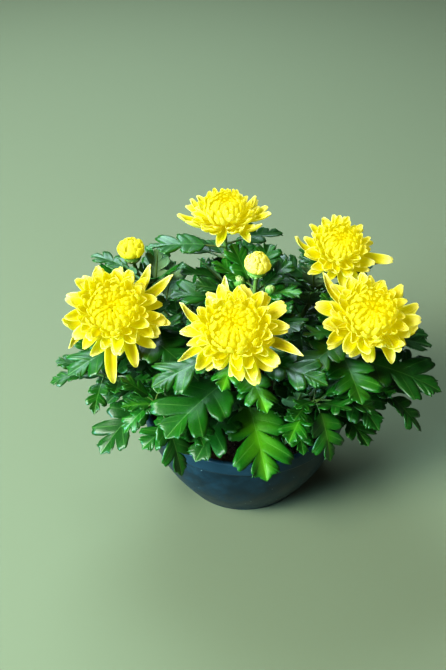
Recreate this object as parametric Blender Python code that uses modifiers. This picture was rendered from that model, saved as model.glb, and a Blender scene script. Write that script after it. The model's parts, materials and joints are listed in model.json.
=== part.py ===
"""A pot chrysanthemum: five double yellow blooms, four buds and lobed leaves in a dark plastic bowl pot.

Units are metres and +Z is up. The origin is the centre of the pot's flat base, and the front faces -Y.
"""

import math
from dataclasses import dataclass

import bmesh
import bpy
from mathutils import Matrix, Vector
from mathutils.bvhtree import BVHTree

# Pot: a flared, round-sided bowl with a plain band round its rim.
POT_HEIGHT = 0.074
RIM_RADIUS = 0.075
BAND_HEIGHT = 0.010
BAND_STEP = 0.0016
BASE_RADIUS = 0.046
SIDE_BULGE = 0.005
WALL = 0.0022
FLOOR = 0.003
RIM_ROUNDING = 0.001
BAND_EDGE = 0.0012
FOOT_BEVEL = (0.0006, 0.0012)
POT_SIDES = 32
POT_RINGS = 5

# Soil, with a plain hole for each stem.
SOIL_TOP = 0.062
SOIL_CROWN = 0.003
SOIL_SHOULDER = (0.45, 0.8)
SOIL_RINGS = 2
STEM_DEPTH = 0.014
HOLE_CLEARANCE = 0.0008
HOLE_SIDES = 6
GAP = 0.0003
SOIL_SIDE_GAP = 0.00075

# Stems. The handles say how strongly a stem holds its first and last direction, in shares of its rise
# and span.
STEM_ROOT_RADIUS = 0.0024
STEM_TIP_RADIUS = 0.0015
STEM_STEPS = 4
STEM_HANDLES = (0.42, 0.36)

# Green cup under a bloom or a bud, in shares of its own radius.
CUP_PROFILE = ((0.0, 0.0), (0.92, 0.0), (1.0, -0.22), (0.62, -0.62), (0.0, -0.86))
CUP_SIDES = 9
CUP_SEAT = 0.6
BLOOM_CUP_RADIUS = 0.0085
BUD_CUP_RADIUS = 0.0062

# Leaves: half-width at points along the blade, both in shares of its length, from base to tip.
LEAF_EDGE = (
    (0.00, 0.035),
    (0.20, 0.330),
    (0.35, 0.170),
    (0.48, 0.390),
    (0.64, 0.180),
    (0.77, 0.240),
)
LEAF_THICKNESS = 0.0008
STALK_SHARE = 0.24
STALK_HALF_WIDTH = 0.0009
VEIN_ANGLES = (math.radians(72), math.radians(26))
LEAF_LEAN = 0.35
LEAF_FOLD = 0.16
LEAF_WAVE = 0.10
WAVE_TURNS = 1.3
WAVE_SHIFT = 300

# Room that a leaf keeps from its neighbours, the pot and the faces of the blooms, and how far leaves reach.
LEAF_CLEARANCE = 0.0022
POT_CLEARANCE = 0.004
RIM_CLEARANCE = 0.012
BLOOM_FACE = (1.15, -0.25)
PLANT_RADIUS = 0.141
LOWEST_LEAF = 0.070

# Petals: place along the petal and half-width, in shares of its length and width.
LONG_PETAL = ((0.0, 0.40), (0.5, 0.96), (0.85, 0.84))
SHORT_PETAL = ((0.0, 0.45), (0.66, 1.0))
PETAL_THICKNESS = 0.0007
PETAL_CUP = 0.30
PETAL_SWEEP = 0.45
PETAL_BOW = 0.10
INNER_BOW = 0.16
DROOPING = 3

# Rings of petals above the outermost one: number, then root and tip as (distance from the axis, height)
# and width, all in shares of the bloom's radius.
INNER_RINGS = (
    (9, (0.40, 0.26), (0.84, 0.50), 0.37, LONG_PETAL),
    (6, (0.33, 0.44), (0.58, 0.80), 0.38, SHORT_PETAL),
)
RING_TURN = 11
REACH_CHANGE = 0.05
HEIGHT_CHANGE = 0.06
OUTER_ROOT = (0.40, 0.13)
OUTER_WIDTH = 0.30
OUTER_STAGGER = 0.0007
OUTER_TIP_HEIGHT = 0.20
BLOOM_MIDDLE = 0.36

# Heart of a bloom: a flat-bottomed dome of closed florets, in shares of the bloom's radius.
HEART_RADIUS = 0.46
HEART_HEIGHT = 0.82
HEART_FLORETS = 6
HEART_RINGS = 5
HEART_CUT = 0.35

# Opening buds: petal ridges that lean round the ball.
BUD_PETALS = 7
BUD_RINGS = 6
BUD_HEIGHT = 1.68
BUD_CUT = 0.92
RIDGE_TWIST = 2.0
RIDGE_RELIEF = 0.09

# Green buds: where their stalks leave the centre bud's stem, and the outline of one in shares of its radius.
STALK_ROOTS = (0.66, 0.70)
STALK_RADIUS = 0.0011
STALK_BOW = 0.002
STALK_STEPS = 3
GREEN_BUD_PROFILE = ((0, 1), (0.7, 0.75), (1, 0), (0.6, -0.8), (0, -1))
GREEN_BUD_SIDES = 7

# Points that are nearer than this are one point.
WELD = 0.00001
# Looks: linear colour and roughness.
PLASTIC = ((0.014, 0.030, 0.042), 0.38)
PEAT = ((0.035, 0.022, 0.014), 0.95)
PETAL = ((0.95, 0.85, 0.02), 0.5)
OPENING_PETAL = ((0.95, 0.90, 0.25), 0.5)
LEAF_GREEN = ((0.035, 0.16, 0.022), 0.35)

UP = Vector((0, 0, 1))
# A flower that faces up more steeply than this has +Y as its upward direction.
NEARLY_UPRIGHT = 0.995


@dataclass
class Bloom:
    """An open flower: the middle of its petals, the way it faces, and its outermost ring of petals.

    Each outer petal is a clock angle in degrees as seen from the front, how far its tip is from the axis
    in millimetres, and how far it droops below the ring in millimetres.
    """

    middle: tuple
    facing: tuple
    radius: float
    outer: tuple


@dataclass
class Stem:
    """A leafy stem: where it leaves the soil, its end, and the direction it ends in."""

    foot: tuple
    end: Vector
    facing: Vector


@dataclass
class Leaf:
    """A leaf: the share of the stem where it grows, its tip, its arch and width in shares of its length."""

    share: float
    tip: Vector
    arch: float = 0.16
    width: float = 1.0
    freedom: float = 1.0


BLOOMS = {
    "left": Bloom(
        (-0.087, -0.030, 0.170), (0.00, -0.70, 0.71), 0.031,
        ((8, 30, 0), (37, 39, -3), (58, 45, -1), (81, 32, 0), (103, 38, 1), (131, 36, 2), (158, 39, 7),
         (181, 46, 10), (206, 33, 2), (231, 38, 2), (258, 34, 0), (287, 34, 0), (315, 31, 0), (342, 31, 0)),
    ),
    "centre": Bloom(
        (-0.0085, -0.066, 0.180), (-0.14, -0.60, 0.79), 0.0305,
        ((6, 29, 0), (33, 31, 0), (58, 34, 0), (80, 32, 0), (102, 44, 1), (126, 33, 2), (149, 36, 3),
         (177, 28, 1), (207, 30, 2), (236, 40, 3), (263, 33, 0), (290, 41, -1), (315, 32, 0), (339, 37, -3)),
    ),
    "right": Bloom(
        (0.078, -0.037, 0.170), (0.05, -0.58, 0.81), 0.030,
        ((10, 30, 0), (31, 29, 0), (53, 30, 0), (78, 36, 0), (103, 33, 1), (129, 30, 1), (157, 33, 4),
         (183, 29, 2), (209, 29, 2), (236, 33, 2), (263, 30, 1), (290, 35, 1), (320, 41, -3), (347, 31, 0)),
    ),
    "upper_right": Bloom(
        (0.064, 0.022, 0.187), (0.06, -0.52, 0.85), 0.0245,
        ((2, 24, 0), (28, 24, 0), (54, 24, 0), (80, 26, 0), (106, 39, 3), (131, 26, 1), (155, 27, 2),
         (179, 28, 6), (206, 26, 2), (235, 28, 2), (262, 25, 0), (292, 31, -2), (318, 25, 0), (341, 24, 0)),
    ),
    "top": Bloom(
        (-0.0145, 0.038, 0.204), (0.00, -0.20, 0.98), 0.0255,
        ((0, 27, -2), (26, 27, -3), (52, 28, -4), (76, 31, -5), (98, 32, -6), (121, 29, -8), (143, 32, 6),
         (167, 25, -9), (190, 30, 8), (216, 26, -9), (242, 30, -7), (268, 33, -5), (300, 28, -4), (333, 27, -2)),
    ),
}
OPENING_BUDS = {
    "left": ((-0.080, 0.035, 0.172), (-0.10, -0.10, 0.99), 0.0090),
    "centre": ((0.0067, -0.001, 0.182), (0.05, -0.15, 0.98), 0.0092),
}
GREEN_BUDS = (((-0.0048, 0.0035, 0.170), 0.0046), ((0.0160, -0.0045, 0.169), 0.0036))


def clear_scene():
    for thing in list(bpy.data.objects):
        bpy.data.objects.remove(thing)


def new_collection(name):
    made = bpy.data.collections.new(name)
    bpy.context.scene.collection.children.link(made)
    return made


def new_material(name, colour, roughness):
    made = bpy.data.materials.new(name)
    made.use_nodes = True
    shader = made.node_tree.nodes["Principled BSDF"]
    shader.inputs["Base Color"].default_value = (*colour, 1)
    shader.inputs["Roughness"].default_value = roughness
    shader.inputs["Metallic"].default_value = 0.0
    made.diffuse_color = (*colour, 1)
    return made


def new_object(name, mesh, collection):
    made = bpy.data.objects.new(name, mesh)
    collection.objects.link(made)
    return made


def evaluated_mesh(thing):
    depsgraph = bpy.context.evaluated_depsgraph_get()
    return bpy.data.meshes.new_from_object(thing.evaluated_get(depsgraph))


def turned(name, profile, sides, collection):
    """A solid of revolution. The profile runs down its outer side and starts and ends on the axis."""
    mesh = bpy.data.meshes.new(name)
    points = [(radius, 0, height) for radius, height in profile]
    mesh.from_pydata(points, [(i, i + 1) for i in range(len(points) - 1)], [])
    made = new_object(name, mesh, collection)
    screw = made.modifiers.new("turn", "SCREW")
    screw.steps = screw.render_steps = sides
    screw.use_merge_vertices = True
    screw.merge_threshold = 0.00005
    return made


def turned_at(name, profile, sides, frame, collection):
    """A turned solid with its mesh moved to a place, for joining."""
    pattern = turned(name, profile, sides, collection)
    mesh = evaluated_mesh(pattern)
    bpy.data.objects.remove(pattern)
    mesh.transform(frame)
    return new_object(name, mesh, collection)


def side_radius(height, inset=0.0):
    """Radius of the bowl's round side at a height, drawn in by an inset."""
    rise = min(height / (POT_HEIGHT - BAND_HEIGHT), 1.0)
    straight = BASE_RADIUS + (RIM_RADIUS - BAND_STEP - BASE_RADIUS) * rise
    return straight + SIDE_BULGE * math.sin(math.pi * rise) - inset


def make_pot(collection):
    under_band = POT_HEIGHT - BAND_HEIGHT
    heights = [under_band * i / POT_RINGS for i in range(POT_RINGS + 1)]
    inner_heights = [FLOOR + (POT_HEIGHT - FLOOR) * i / POT_RINGS for i in range(POT_RINGS)]
    inner = [(side_radius(h, WALL), h) for h in inner_heights]
    rim = [
        (RIM_RADIUS - BAND_STEP - WALL, POT_HEIGHT),
        (RIM_RADIUS - RIM_ROUNDING, POT_HEIGHT),
        (RIM_RADIUS, POT_HEIGHT - RIM_ROUNDING),
        (RIM_RADIUS, under_band + BAND_EDGE),
    ]
    outer = [(side_radius(h), h) for h in reversed(heights[1:])]
    foot = [(BASE_RADIUS + FOOT_BEVEL[0], FOOT_BEVEL[1]), (BASE_RADIUS - FOOT_BEVEL[0], 0.0)]
    profile = [(0, FLOOR)] + inner + rim + outer + foot + [(0, 0)]
    return turned("pot", profile, POT_SIDES, collection)


def add_hole(name, foot, cutters):
    """The plain hole in the soil that a stem stands in."""
    bottom = SOIL_TOP - STEM_DEPTH - GAP
    top = SOIL_TOP + 2 * SOIL_CROWN
    bpy.ops.mesh.primitive_cylinder_add(
        vertices=HOLE_SIDES,
        radius=STEM_ROOT_RADIUS + HOLE_CLEARANCE,
        depth=top - bottom,
        location=(*foot, (top + bottom) / 2),
    )
    cutter = bpy.context.active_object
    cutter.name = "hole_for_" + name
    for owner in list(cutter.users_collection):
        owner.objects.unlink(cutter)
    cutters.objects.link(cutter)
    cutter.hide_render = True
    cutter.display_type = "WIRE"


def make_soil(stems, collection, cutters):
    bottom = FLOOR + GAP
    heights = [SOIL_TOP + (bottom - SOIL_TOP) * i / SOIL_RINGS for i in range(SOIL_RINGS + 1)]
    wall = [(side_radius(h, WALL + SOIL_SIDE_GAP), h) for h in heights]
    shoulder = (SOIL_SHOULDER[0] * RIM_RADIUS, SOIL_TOP + SOIL_SHOULDER[1] * SOIL_CROWN)
    crown = [(0, SOIL_TOP + SOIL_CROWN), shoulder]
    soil = turned("soil", crown + wall + [(0, bottom)], POT_SIDES, collection)
    for name, stem in stems.items():
        add_hole(name, stem.foot, cutters)
    holes = soil.modifiers.new("stem holes", "BOOLEAN")
    holes.operation = "DIFFERENCE"
    holes.operand_type = "COLLECTION"
    holes.collection = cutters
    return soil


def facing_frame(origin, facing):
    """Axes of a flower: right, up and facing, as someone in front of it sees them."""
    axis = Vector(facing).normalized()
    upward = (UP - axis * UP.dot(axis)) if axis.z < NEARLY_UPRIGHT else Vector((0, 1, 0))
    upward.normalize()
    right = upward.cross(axis)
    turn = Matrix((right, upward, axis)).transposed().to_4x4()
    return Matrix.Translation(origin) @ turn


def bloom_frame(bloom):
    axis = Vector(bloom.facing).normalized()
    return facing_frame(Vector(bloom.middle) - axis * bloom.radius * BLOOM_MIDDLE, bloom.facing)


def blade(name, rows, thickness, collection):
    """A thin solid from rows of points, root to tip. The points of the last row may fall together."""
    lanes = len(rows[0]) - 1
    steps = len(rows) - 1
    bm = bmesh.new()
    bmesh.ops.create_grid(bm, x_segments=lanes, y_segments=steps, size=1)
    for vert in bm.verts:
        across = round((vert.co.x + 1) / 2 * lanes)
        along = round((vert.co.y + 1) / 2 * steps)
        vert.co = rows[along][across]
    bmesh.ops.triangulate(bm, faces=bm.faces)
    bmesh.ops.remove_doubles(bm, verts=bm.verts, dist=WELD)
    mesh = bpy.data.meshes.new(name)
    bm.to_mesh(mesh)
    bm.free()
    made = new_object(name, mesh, collection)
    wall = made.modifiers.new("thickness", "SOLIDIFY")
    wall.thickness = thickness
    wall.offset = 0
    return made


def bend(start, middle, end, share):
    """A point of the curve from start to end that is drawn towards middle."""
    return start * (1 - share) ** 2 + middle * 2 * share * (1 - share) + end * share ** 2


def petal_rows(frame, clock, root, tip, width, outline, bow, channelled=True):
    """Rows across a petal that leaves the axis at a clock angle. Root and tip are (distance, height)."""
    turn = math.radians(clock)
    outward = Vector((math.sin(turn), math.cos(turn), 0))
    sideways = Vector((math.cos(turn), -math.sin(turn), 0))
    start = outward * root[0] + UP * root[1]
    end = outward * tip[0] + UP * tip[1]
    middle = (start + end) / 2 + (outward * PETAL_SWEEP - UP) * bow * (end - start).length
    rows = []
    for share, spread in outline:
        centre = bend(start, middle, end, share)
        half = width / 2 * spread
        lift = UP * half * PETAL_CUP
        edges = [centre - sideways * half + lift, centre + sideways * half + lift]
        row = [edges[0], centre, edges[1]] if channelled else edges
        rows.append([frame @ point for point in row])
    rows.append([frame @ end] * len(rows[0]))
    return rows


def fuse(name, body, repeats, home):
    """Joins a node's repeats to its body with one Boolean union, then removes the repeats."""
    union = body.modifiers.new("joined", "BOOLEAN")
    union.operation = "UNION"
    union.operand_type = "COLLECTION"
    union.collection = repeats
    union.solver = "MANIFOLD"
    mesh = evaluated_mesh(body)
    mesh.name = name
    bpy.data.objects.remove(body)
    for thing in list(repeats.objects):
        bpy.data.objects.remove(thing)
    bpy.data.collections.remove(repeats)
    keep_main_body(mesh)
    return new_object(name, mesh, home)


def keep_main_body(mesh):
    """Drops loose scraps and fills sealed hollows, by keeping only the largest closed surface."""
    bm = bmesh.new()
    bm.from_mesh(mesh)
    left = set(bm.verts)
    groups = []
    while left:
        group = set()
        edge = [left.pop()]
        while edge:
            vert = edge.pop()
            group.add(vert)
            near = [e.other_vert(vert) for e in vert.link_edges]
            edge += [v for v in near if v in left]
            left.difference_update(near)
        groups.append(group)
    groups.sort(key=len)
    scraps = [vert for group in groups[:-1] for vert in group]
    bmesh.ops.delete(bm, geom=scraps, context="VERTS")
    bmesh.ops.triangulate(bm, faces=bm.faces)
    bm.to_mesh(mesh)
    bm.free()
    if scraps:
        print(f"{mesh.name}: {len(groups) - 1} loose pieces of {len(scraps)} points dropped")


def ridged_ball(name, ridges, rings, wide, height, cut, frame, home):
    """A flat-footed ball with ridges that lean round it, like petals that still close over the top."""
    bm = bmesh.new()
    bmesh.ops.create_uvsphere(bm, u_segments=2 * ridges, v_segments=rings, radius=1)
    for vert in bm.verts:
        around = math.atan2(vert.co.y, vert.co.x)
        ridge = math.cos(ridges * around + RIDGE_TWIST * vert.co.z) * (1 - vert.co.z ** 4)
        spread = wide * (1 + RIDGE_RELIEF * ridge)
        rise = (max(vert.co.z, -cut) + cut) / (1 + cut)
        vert.co = Vector((vert.co.x * spread, vert.co.y * spread, height * rise))
    bmesh.ops.triangulate(bm, faces=bm.faces)
    mesh = bpy.data.meshes.new(name)
    bm.to_mesh(mesh)
    bm.free()
    mesh.transform(frame)
    return new_object(name, mesh, home)


def make_bloom(name, bloom, home):
    """A double flower: rings of petals that stand out of a small heart."""
    frame = bloom_frame(bloom)
    size = bloom.radius
    repeats = new_collection(name + "_petals")
    wide, high = size * HEART_RADIUS, size * HEART_HEIGHT
    heart = ridged_ball(name + "_heart", HEART_FLORETS, HEART_RINGS, wide, high, HEART_CUT, frame, home)
    for i, (clock, reach, droop) in enumerate(bloom.outer):
        stagger = OUTER_STAGGER * (1 - 2 * (i % 2))
        root = (size * OUTER_ROOT[0], size * OUTER_ROOT[1] + stagger)
        tip = (reach / 1000, size * OUTER_TIP_HEIGHT - droop / 1000 + 2 * stagger)
        bow = PETAL_BOW if droop < DROOPING else -PETAL_BOW
        rows = petal_rows(frame, clock, root, tip, size * OUTER_WIDTH, LONG_PETAL, bow)
        blade("petal", rows, PETAL_THICKNESS, repeats)
    for ring, (count, root, tip, width, outline) in enumerate(INNER_RINGS):
        near = (size * root[0], size * root[1])
        for i in range(count):
            clock = 360 * (i + 0.5 * ring) / count + RING_TURN * ring
            reach = size * tip[0] * (1 + REACH_CHANGE * math.sin(5 * i))
            rise = size * tip[1] * (1 + HEIGHT_CHANGE * math.sin(3 * i))
            far = (reach, rise)
            rows = petal_rows(frame, clock, near, far, size * width, outline, INNER_BOW, channelled=False)
            blade("petal", rows, PETAL_THICKNESS, repeats)
    return fuse(name, heart, repeats, home)


def make_opening_bud(name, place, facing, radius, home):
    """A bud that shows yellow: a ball whose petals still close over its top."""
    frame = facing_frame(place, facing)
    return ridged_ball(name, BUD_PETALS, BUD_RINGS, radius, BUD_HEIGHT * radius, BUD_CUT, frame, home)


def cup(name, frame, radius, collection):
    """The green cup of bracts that a flower sits on, with its flat top a small gap below the flower."""
    profile = [(radius * r, radius * h - GAP) for r, h in CUP_PROFILE]
    return turned_at(name, profile, CUP_SIDES, frame, collection)


def stem_course(stem, share):
    """A point of the smooth course of a stem, which leaves the soil upright and ends along its facing."""
    start = Vector((*stem.foot, SOIL_TOP + SOIL_CROWN))
    rise = stem.end.z - start.z
    first = start + UP * STEM_HANDLES[0] * rise
    last = stem.end - stem.facing * STEM_HANDLES[1] * (stem.end - start).length
    rest = 1 - share
    return (
        start * rest ** 3 + first * 3 * share * rest ** 2
        + last * 3 * share ** 2 * rest + stem.end * share ** 3
    )


def stem_point(stem, share):
    """A point on the centre line of a stem's tube, which runs straight between its knots."""
    knot = min(int(share * STEM_STEPS), STEM_STEPS - 1)
    start, end = (stem_course(stem, (knot + i) / STEM_STEPS) for i in (0, 1))
    return start.lerp(end, share * STEM_STEPS - knot)


def tube(name, points, radii, collection):
    """A round tube through points, with its caps welded."""
    curve = bpy.data.curves.new(name, "CURVE")
    curve.dimensions = "3D"
    curve.bevel_depth = 1.0
    curve.bevel_resolution = 1
    curve.use_fill_caps = True
    spline = curve.splines.new("POLY")
    spline.points.add(len(points) - 1)
    for knot, place, radius in zip(spline.points, points, radii):
        knot.co = (*place, 1)
        knot.radius = radius
    path = new_object(name + "_path", curve, collection)
    mesh = evaluated_mesh(path)
    bpy.data.objects.remove(path)
    bm = bmesh.new()
    bm.from_mesh(mesh)
    bmesh.ops.remove_doubles(bm, verts=bm.verts, dist=WELD)
    bmesh.ops.recalc_face_normals(bm, faces=bm.faces)
    bm.to_mesh(mesh)
    bm.free()
    return new_object(name, mesh, collection)


def stem_tube(name, stem, collection):
    foot = Vector((*stem.foot, SOIL_TOP - STEM_DEPTH))
    points = [foot] + [stem_course(stem, i / STEM_STEPS) for i in range(STEM_STEPS + 1)]
    fade = (STEM_TIP_RADIUS - STEM_ROOT_RADIUS) / STEM_STEPS
    radii = [STEM_ROOT_RADIUS] + [STEM_ROOT_RADIUS + fade * i for i in range(STEM_STEPS + 1)]
    return tube(name, points, radii, collection)


def leaf_rows(leaf, base):
    """Rows across a leaf, from inside its stem to its tip: left edge, midrib and right edge."""
    reach = leaf.tip - base
    length = reach.length
    outward = Vector((reach.x, reach.y, 0.0001)).normalized()
    hint = (UP + outward * LEAF_LEAN).normalized()
    middle = (base + leaf.tip) / 2 + hint * leaf.arch * length
    blade_length = length * (1 - STALK_SHARE)
    rows = []
    for i in range(-1, len(LEAF_EDGE)):
        along, spread = LEAF_EDGE[max(i, 0)]
        share = 0.0 if i < 0 else STALK_SHARE + (1 - STALK_SHARE) * along
        centre = bend(base, middle, leaf.tip, share)
        ahead = (middle - base) * (1 - share) + (leaf.tip - middle) * share
        ahead.normalize()
        side = ahead.cross(hint).normalized()
        over = side.cross(ahead)
        angle = VEIN_ANGLES[0] + (VEIN_ANGLES[1] - VEIN_ANGLES[0]) * along
        half = STALK_HALF_WIDTH if i < 1 else blade_length * spread * leaf.width
        wave = LEAF_WAVE * math.cos(math.tau * WAVE_TURNS * along + length * WAVE_SHIFT) if i > 0 else 0
        row = [centre]
        for hand in (-1, 1):
            vein = side * hand * math.sin(angle) + ahead * (math.cos(angle) if i > 0 else 0)
            edge = centre + (vein + over * (LEAF_FOLD + hand * wave)) * half
            row.insert(0 if hand < 0 else 2, edge)
        rows.append(row)
    rows.append([leaf.tip] * 3)
    return rows


def surface_tree(rows):
    """A search tree of a blade's own surface, with its sample points."""
    points = [point for row in rows for point in row]
    lanes = len(rows[0])
    faces = []
    for i in range(len(rows) - 1):
        for j in range(lanes - 1):
            a = i * lanes + j
            faces.append((a, a + 1, a + lanes + 1))
            faces.append((a, a + lanes + 1, a + lanes))
    samples = points + [sum((points[k] for k in face), Vector()) / 3 for face in faces]
    return BVHTree.FromPolygons(points, faces), samples


def object_tree(thing):
    mesh = thing.data
    points = [thing.matrix_world @ v.co for v in mesh.vertices]
    faces = [tuple(p.vertices) for p in mesh.polygons]
    samples = points + [thing.matrix_world @ p.center for p in mesh.polygons]
    return BVHTree.FromPolygons(points, faces), samples


def too_near(one, other, clearance):
    """Whether two surfaces cross or come nearer than a clearance."""
    tree, samples = one
    other_tree, other_samples = other
    if tree.overlap(other_tree):
        return True
    if any(other_tree.find_nearest(point, clearance)[0] is not None for point in samples):
        return True
    return any(tree.find_nearest(point, clearance)[0] is not None for point in other_samples)


def hides_a_bloom(samples):
    """Whether a point of a leaf stands over the face of a bloom."""
    for bloom in BLOOMS.values():
        axis = Vector(bloom.facing).normalized()
        middle = Vector(bloom.middle)
        for point in samples:
            away = point - middle
            height = away.dot(axis)
            aside = (away - axis * height).length
            if height > BLOOM_FACE[1] * bloom.radius and aside < BLOOM_FACE[0] * bloom.radius:
                return True
    return False


def outside_plant(samples):
    low = min(point.z for point in samples)
    wide = max(math.hypot(point.x, point.y) for point in samples)
    return low < LOWEST_LEAF or wide > PLANT_RADIUS


def through_pot(samples):
    """Whether a leaf comes too near the pot's side or rim."""
    inside = RIM_RADIUS - RIM_CLEARANCE
    outside = RIM_RADIUS + POT_CLEARANCE
    top = POT_HEIGHT + POT_CLEARANCE
    return any(point.z < top and inside < math.hypot(point.x, point.y) < outside for point in samples)


# Changes that a leaf may take to stand clear, and what a degree of lift and a whole size cost in degrees
# of turn.
TRY_TURNS = (0, 5, -5, 10, -10, 17, -17, 26, -26, 36, -36)
TRY_LIFTS = (0, 5, -5, 11, -11, 18, -18)
TRY_SIZES = (1.0, 0.9, 0.8)
LIFT_COST = 1.3
SIZE_COST = 130


def leaf_tries():
    """Small changes to a leaf as drawn: a turn, a lift and a size, with the smallest changes first."""
    tries = [(turn, lift, size) for turn in TRY_TURNS for lift in TRY_LIFTS for size in TRY_SIZES]
    return sorted(tries, key=lambda t: (abs(t[0]) + LIFT_COST * abs(t[1]) + SIZE_COST * (1 - t[2]), t))


def changed(leaf, base, attempt):
    turn, lift, size = attempt
    reach = leaf.tip - base
    across = reach.cross(UP).normalized()
    reach = Matrix.Rotation(math.radians(lift * leaf.freedom), 3, across) @ reach
    reach = Matrix.Rotation(math.radians(turn * leaf.freedom), 3, UP) @ reach
    return Leaf(leaf.share, base + reach * size, leaf.arch, leaf.width, leaf.freedom)


def mm(x, y, z):
    return Vector((x, y, z)) / 1000


# Leaves that the front view shows by themselves: place on the stem, tip, arch and width.
DRAWN_LEAVES = {
    "centre": (
        Leaf(0.34, mm(13, -93, 77), 0.20, 1.30),
        Leaf(0.52, mm(-52, -92, 114), 0.14, 1.25),
        Leaf(0.60, mm(12, -84, 128), 0.12, 1.0),
        Leaf(0.70, mm(50, -76, 144), 0.10, 0.9),
        Leaf(0.78, mm(-60, -80, 146), 0.12, 1.1),
        Leaf(0.88, mm(-20, -88, 150), 0.08, 1.0),
        Leaf(0.30, mm(-34, -84, 86), 0.16, 1.2),
        Leaf(0.26, mm(30, -66, 84), 0.14, 1.2),
    ),
    "left": (
        Leaf(0.84, mm(-66, -84, 136), 0.12, 1.2),
        Leaf(0.70, mm(-58, -36, 161), 0.10, 1.0),
        Leaf(0.66, mm(-114, -52, 130), 0.12, 1.1),
        Leaf(0.42, mm(-72, -50, 96), 0.14, 1.2),
        Leaf(0.30, mm(-38, -52, 88), 0.14, 1.2),
    ),
    "right": (
        Leaf(0.84, mm(37, -66, 152), 0.10, 1.0),
        Leaf(0.58, mm(131, -46, 114), 0.14, 1.1),
        Leaf(0.50, mm(88, -66, 97), 0.16, 1.0),
        Leaf(0.78, mm(130, -10, 126), 0.10, 1.0),
        Leaf(0.68, mm(72, -78, 130), 0.10, 1.1),
        Leaf(0.36, mm(62, -58, 90), 0.14, 1.2),
        Leaf(0.44, mm(30, -44, 112), 0.12, 1.1),
    ),
    "upper_right": (
        Leaf(0.86, mm(38, 44, 172), 0.10, 1.0),
        Leaf(0.80, mm(100, 56, 158), 0.12, 1.0),
        Leaf(0.72, mm(112, 6, 138), 0.10, 1.0),
        Leaf(0.44, mm(40, -20, 122), 0.10, 1.1),
    ),
    "top": (
        Leaf(0.88, mm(-70, 33, 180), 0.12, 1.0),
        Leaf(0.80, mm(-60, 66, 166), 0.10, 1.0),
        Leaf(0.90, mm(28, 64, 174), 0.10, 1.0),
        Leaf(0.78, mm(-26, 88, 154), 0.12, 1.0),
    ),
    "left_bud": (
        Leaf(0.90, mm(-112, 52, 162), 0.10, 1.0),
        Leaf(0.82, mm(-62, 74, 156), 0.12, 1.0),
    ),
    "centre_bud": (
        Leaf(0.78, mm(-52, -6, 164), 0.12, 1.2),
        Leaf(0.84, mm(38, -4, 166), 0.10, 1.2),
        Leaf(0.70, mm(34, -38, 158), 0.10, 1.2),
        Leaf(0.90, mm(-24, 16, 178), 0.10, 1.0),
        Leaf(0.66, mm(-32, -34, 152), 0.10, 1.1),
        Leaf(0.44, mm(-30, -30, 122), 0.10, 1.2),
    ),
    "front_left": (
        Leaf(0.92, mm(-43, -84, 73), 0.26, 1.0),
        Leaf(0.98, mm(-80, -78, 106), 0.16, 1.1),
        Leaf(0.62, mm(-28, -88, 100), 0.16, 1.1),
        Leaf(0.50, mm(-70, -70, 84), 0.16, 1.1),
    ),
    "front_right": (
        Leaf(0.92, mm(56, -74, 77), 0.24, 1.2),
        Leaf(0.80, mm(26, -88, 106), 0.14, 1.1),
        Leaf(0.98, mm(84, -66, 116), 0.12, 1.1),
        Leaf(0.50, mm(34, -80, 88), 0.16, 1.0),
    ),
    "far_left": (
        Leaf(0.98, mm(-134, -34, 112), 0.16, 1.0),
        Leaf(0.92, mm(-101, -62, 108), 0.16, 0.9),
    ),
    "far_right": (
        Leaf(0.98, mm(120, -52, 84), 0.16, 1.0),
        Leaf(0.90, mm(128, -20, 98), 0.12, 1.0),
        Leaf(0.80, mm(110, -40, 92), 0.16, 0.9),
    ),
}
# Of these, the leaves that show whole: they are placed before the others and move half as much.
WHOLE_LEAVES = {
    "centre": (0.34, 0.52, 0.70), "right": (0.58, 0.50, 0.78), "top": (0.88,), "front_left": (0.92,),
    "front_right": (0.92,), "far_left": (0.98, 0.92), "far_right": (0.98, 0.90),
}
WHOLE_FREEDOM = 0.5
# Other leaves, set round each stem by the golden angle: how many, the first one's direction and place.
RULE_LEAVES = {
    "back": (4, 70, 0.97), "back_left": (4, 120, 0.97), "back_right": (4, 40, 0.97),
    "side_left": (4, 170, 0.97), "side_right": (4, 0, 0.97), "left_bud": (1, 200, 0.5), "top": (1, 20, 0.55),
    "upper_right": (1, 60, 0.5), "far_right": (1, 300, 0.5), "far_left": (1, 240, 0.5),
}
GOLDEN_ANGLE = 137.5
RULE_SPREAD = 0.58
RULE_LENGTH = (0.055, 0.006)
RULE_LIFT = (4, 26)
RULE_ARCH = 0.14
RULE_WIDTH = 1.15
RULE_FREEDOM = 2.0
FEWEST_STEPS = 4
# Stems that end in leaves: foot on the soil, end and direction of the end, in millimetres.
SHOOTS = {
    "front_left": ((-22, -34), (-62, -66, 122), (-0.5, -0.5, 0.7)),
    "front_right": ((24, -36), (48, -58, 118), (0.4, -0.5, 0.8)),
    "far_left": ((-40, -16), (-104, -30, 118), (-0.85, -0.2, 0.5)),
    "far_right": ((40, -12), (94, -36, 108), (0.85, -0.2, 0.45)),
    "side_left": ((-42, 8), (-77, 30, 112), (-0.7, 0.3, 0.6)),
    "side_right": ((40, 12), (82, 22, 110), (0.75, 0.2, 0.6)),
    "back_left": ((-20, 40), (-45, 67, 116), (-0.4, 0.6, 0.65)),
    "back_right": ((22, 40), (48, 64, 118), (0.5, 0.6, 0.6)),
    "back": ((2, 46), (2, 80, 118), (0, 0.75, 0.6)),
}
FLOWER_FEET = {
    "left": (-26, -10), "centre": (-3, -28), "right": (26, -14), "upper_right": (24, 16), "top": (-6, 26),
    "left_bud": (-26, 18), "centre_bud": (3, 0),
}


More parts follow.
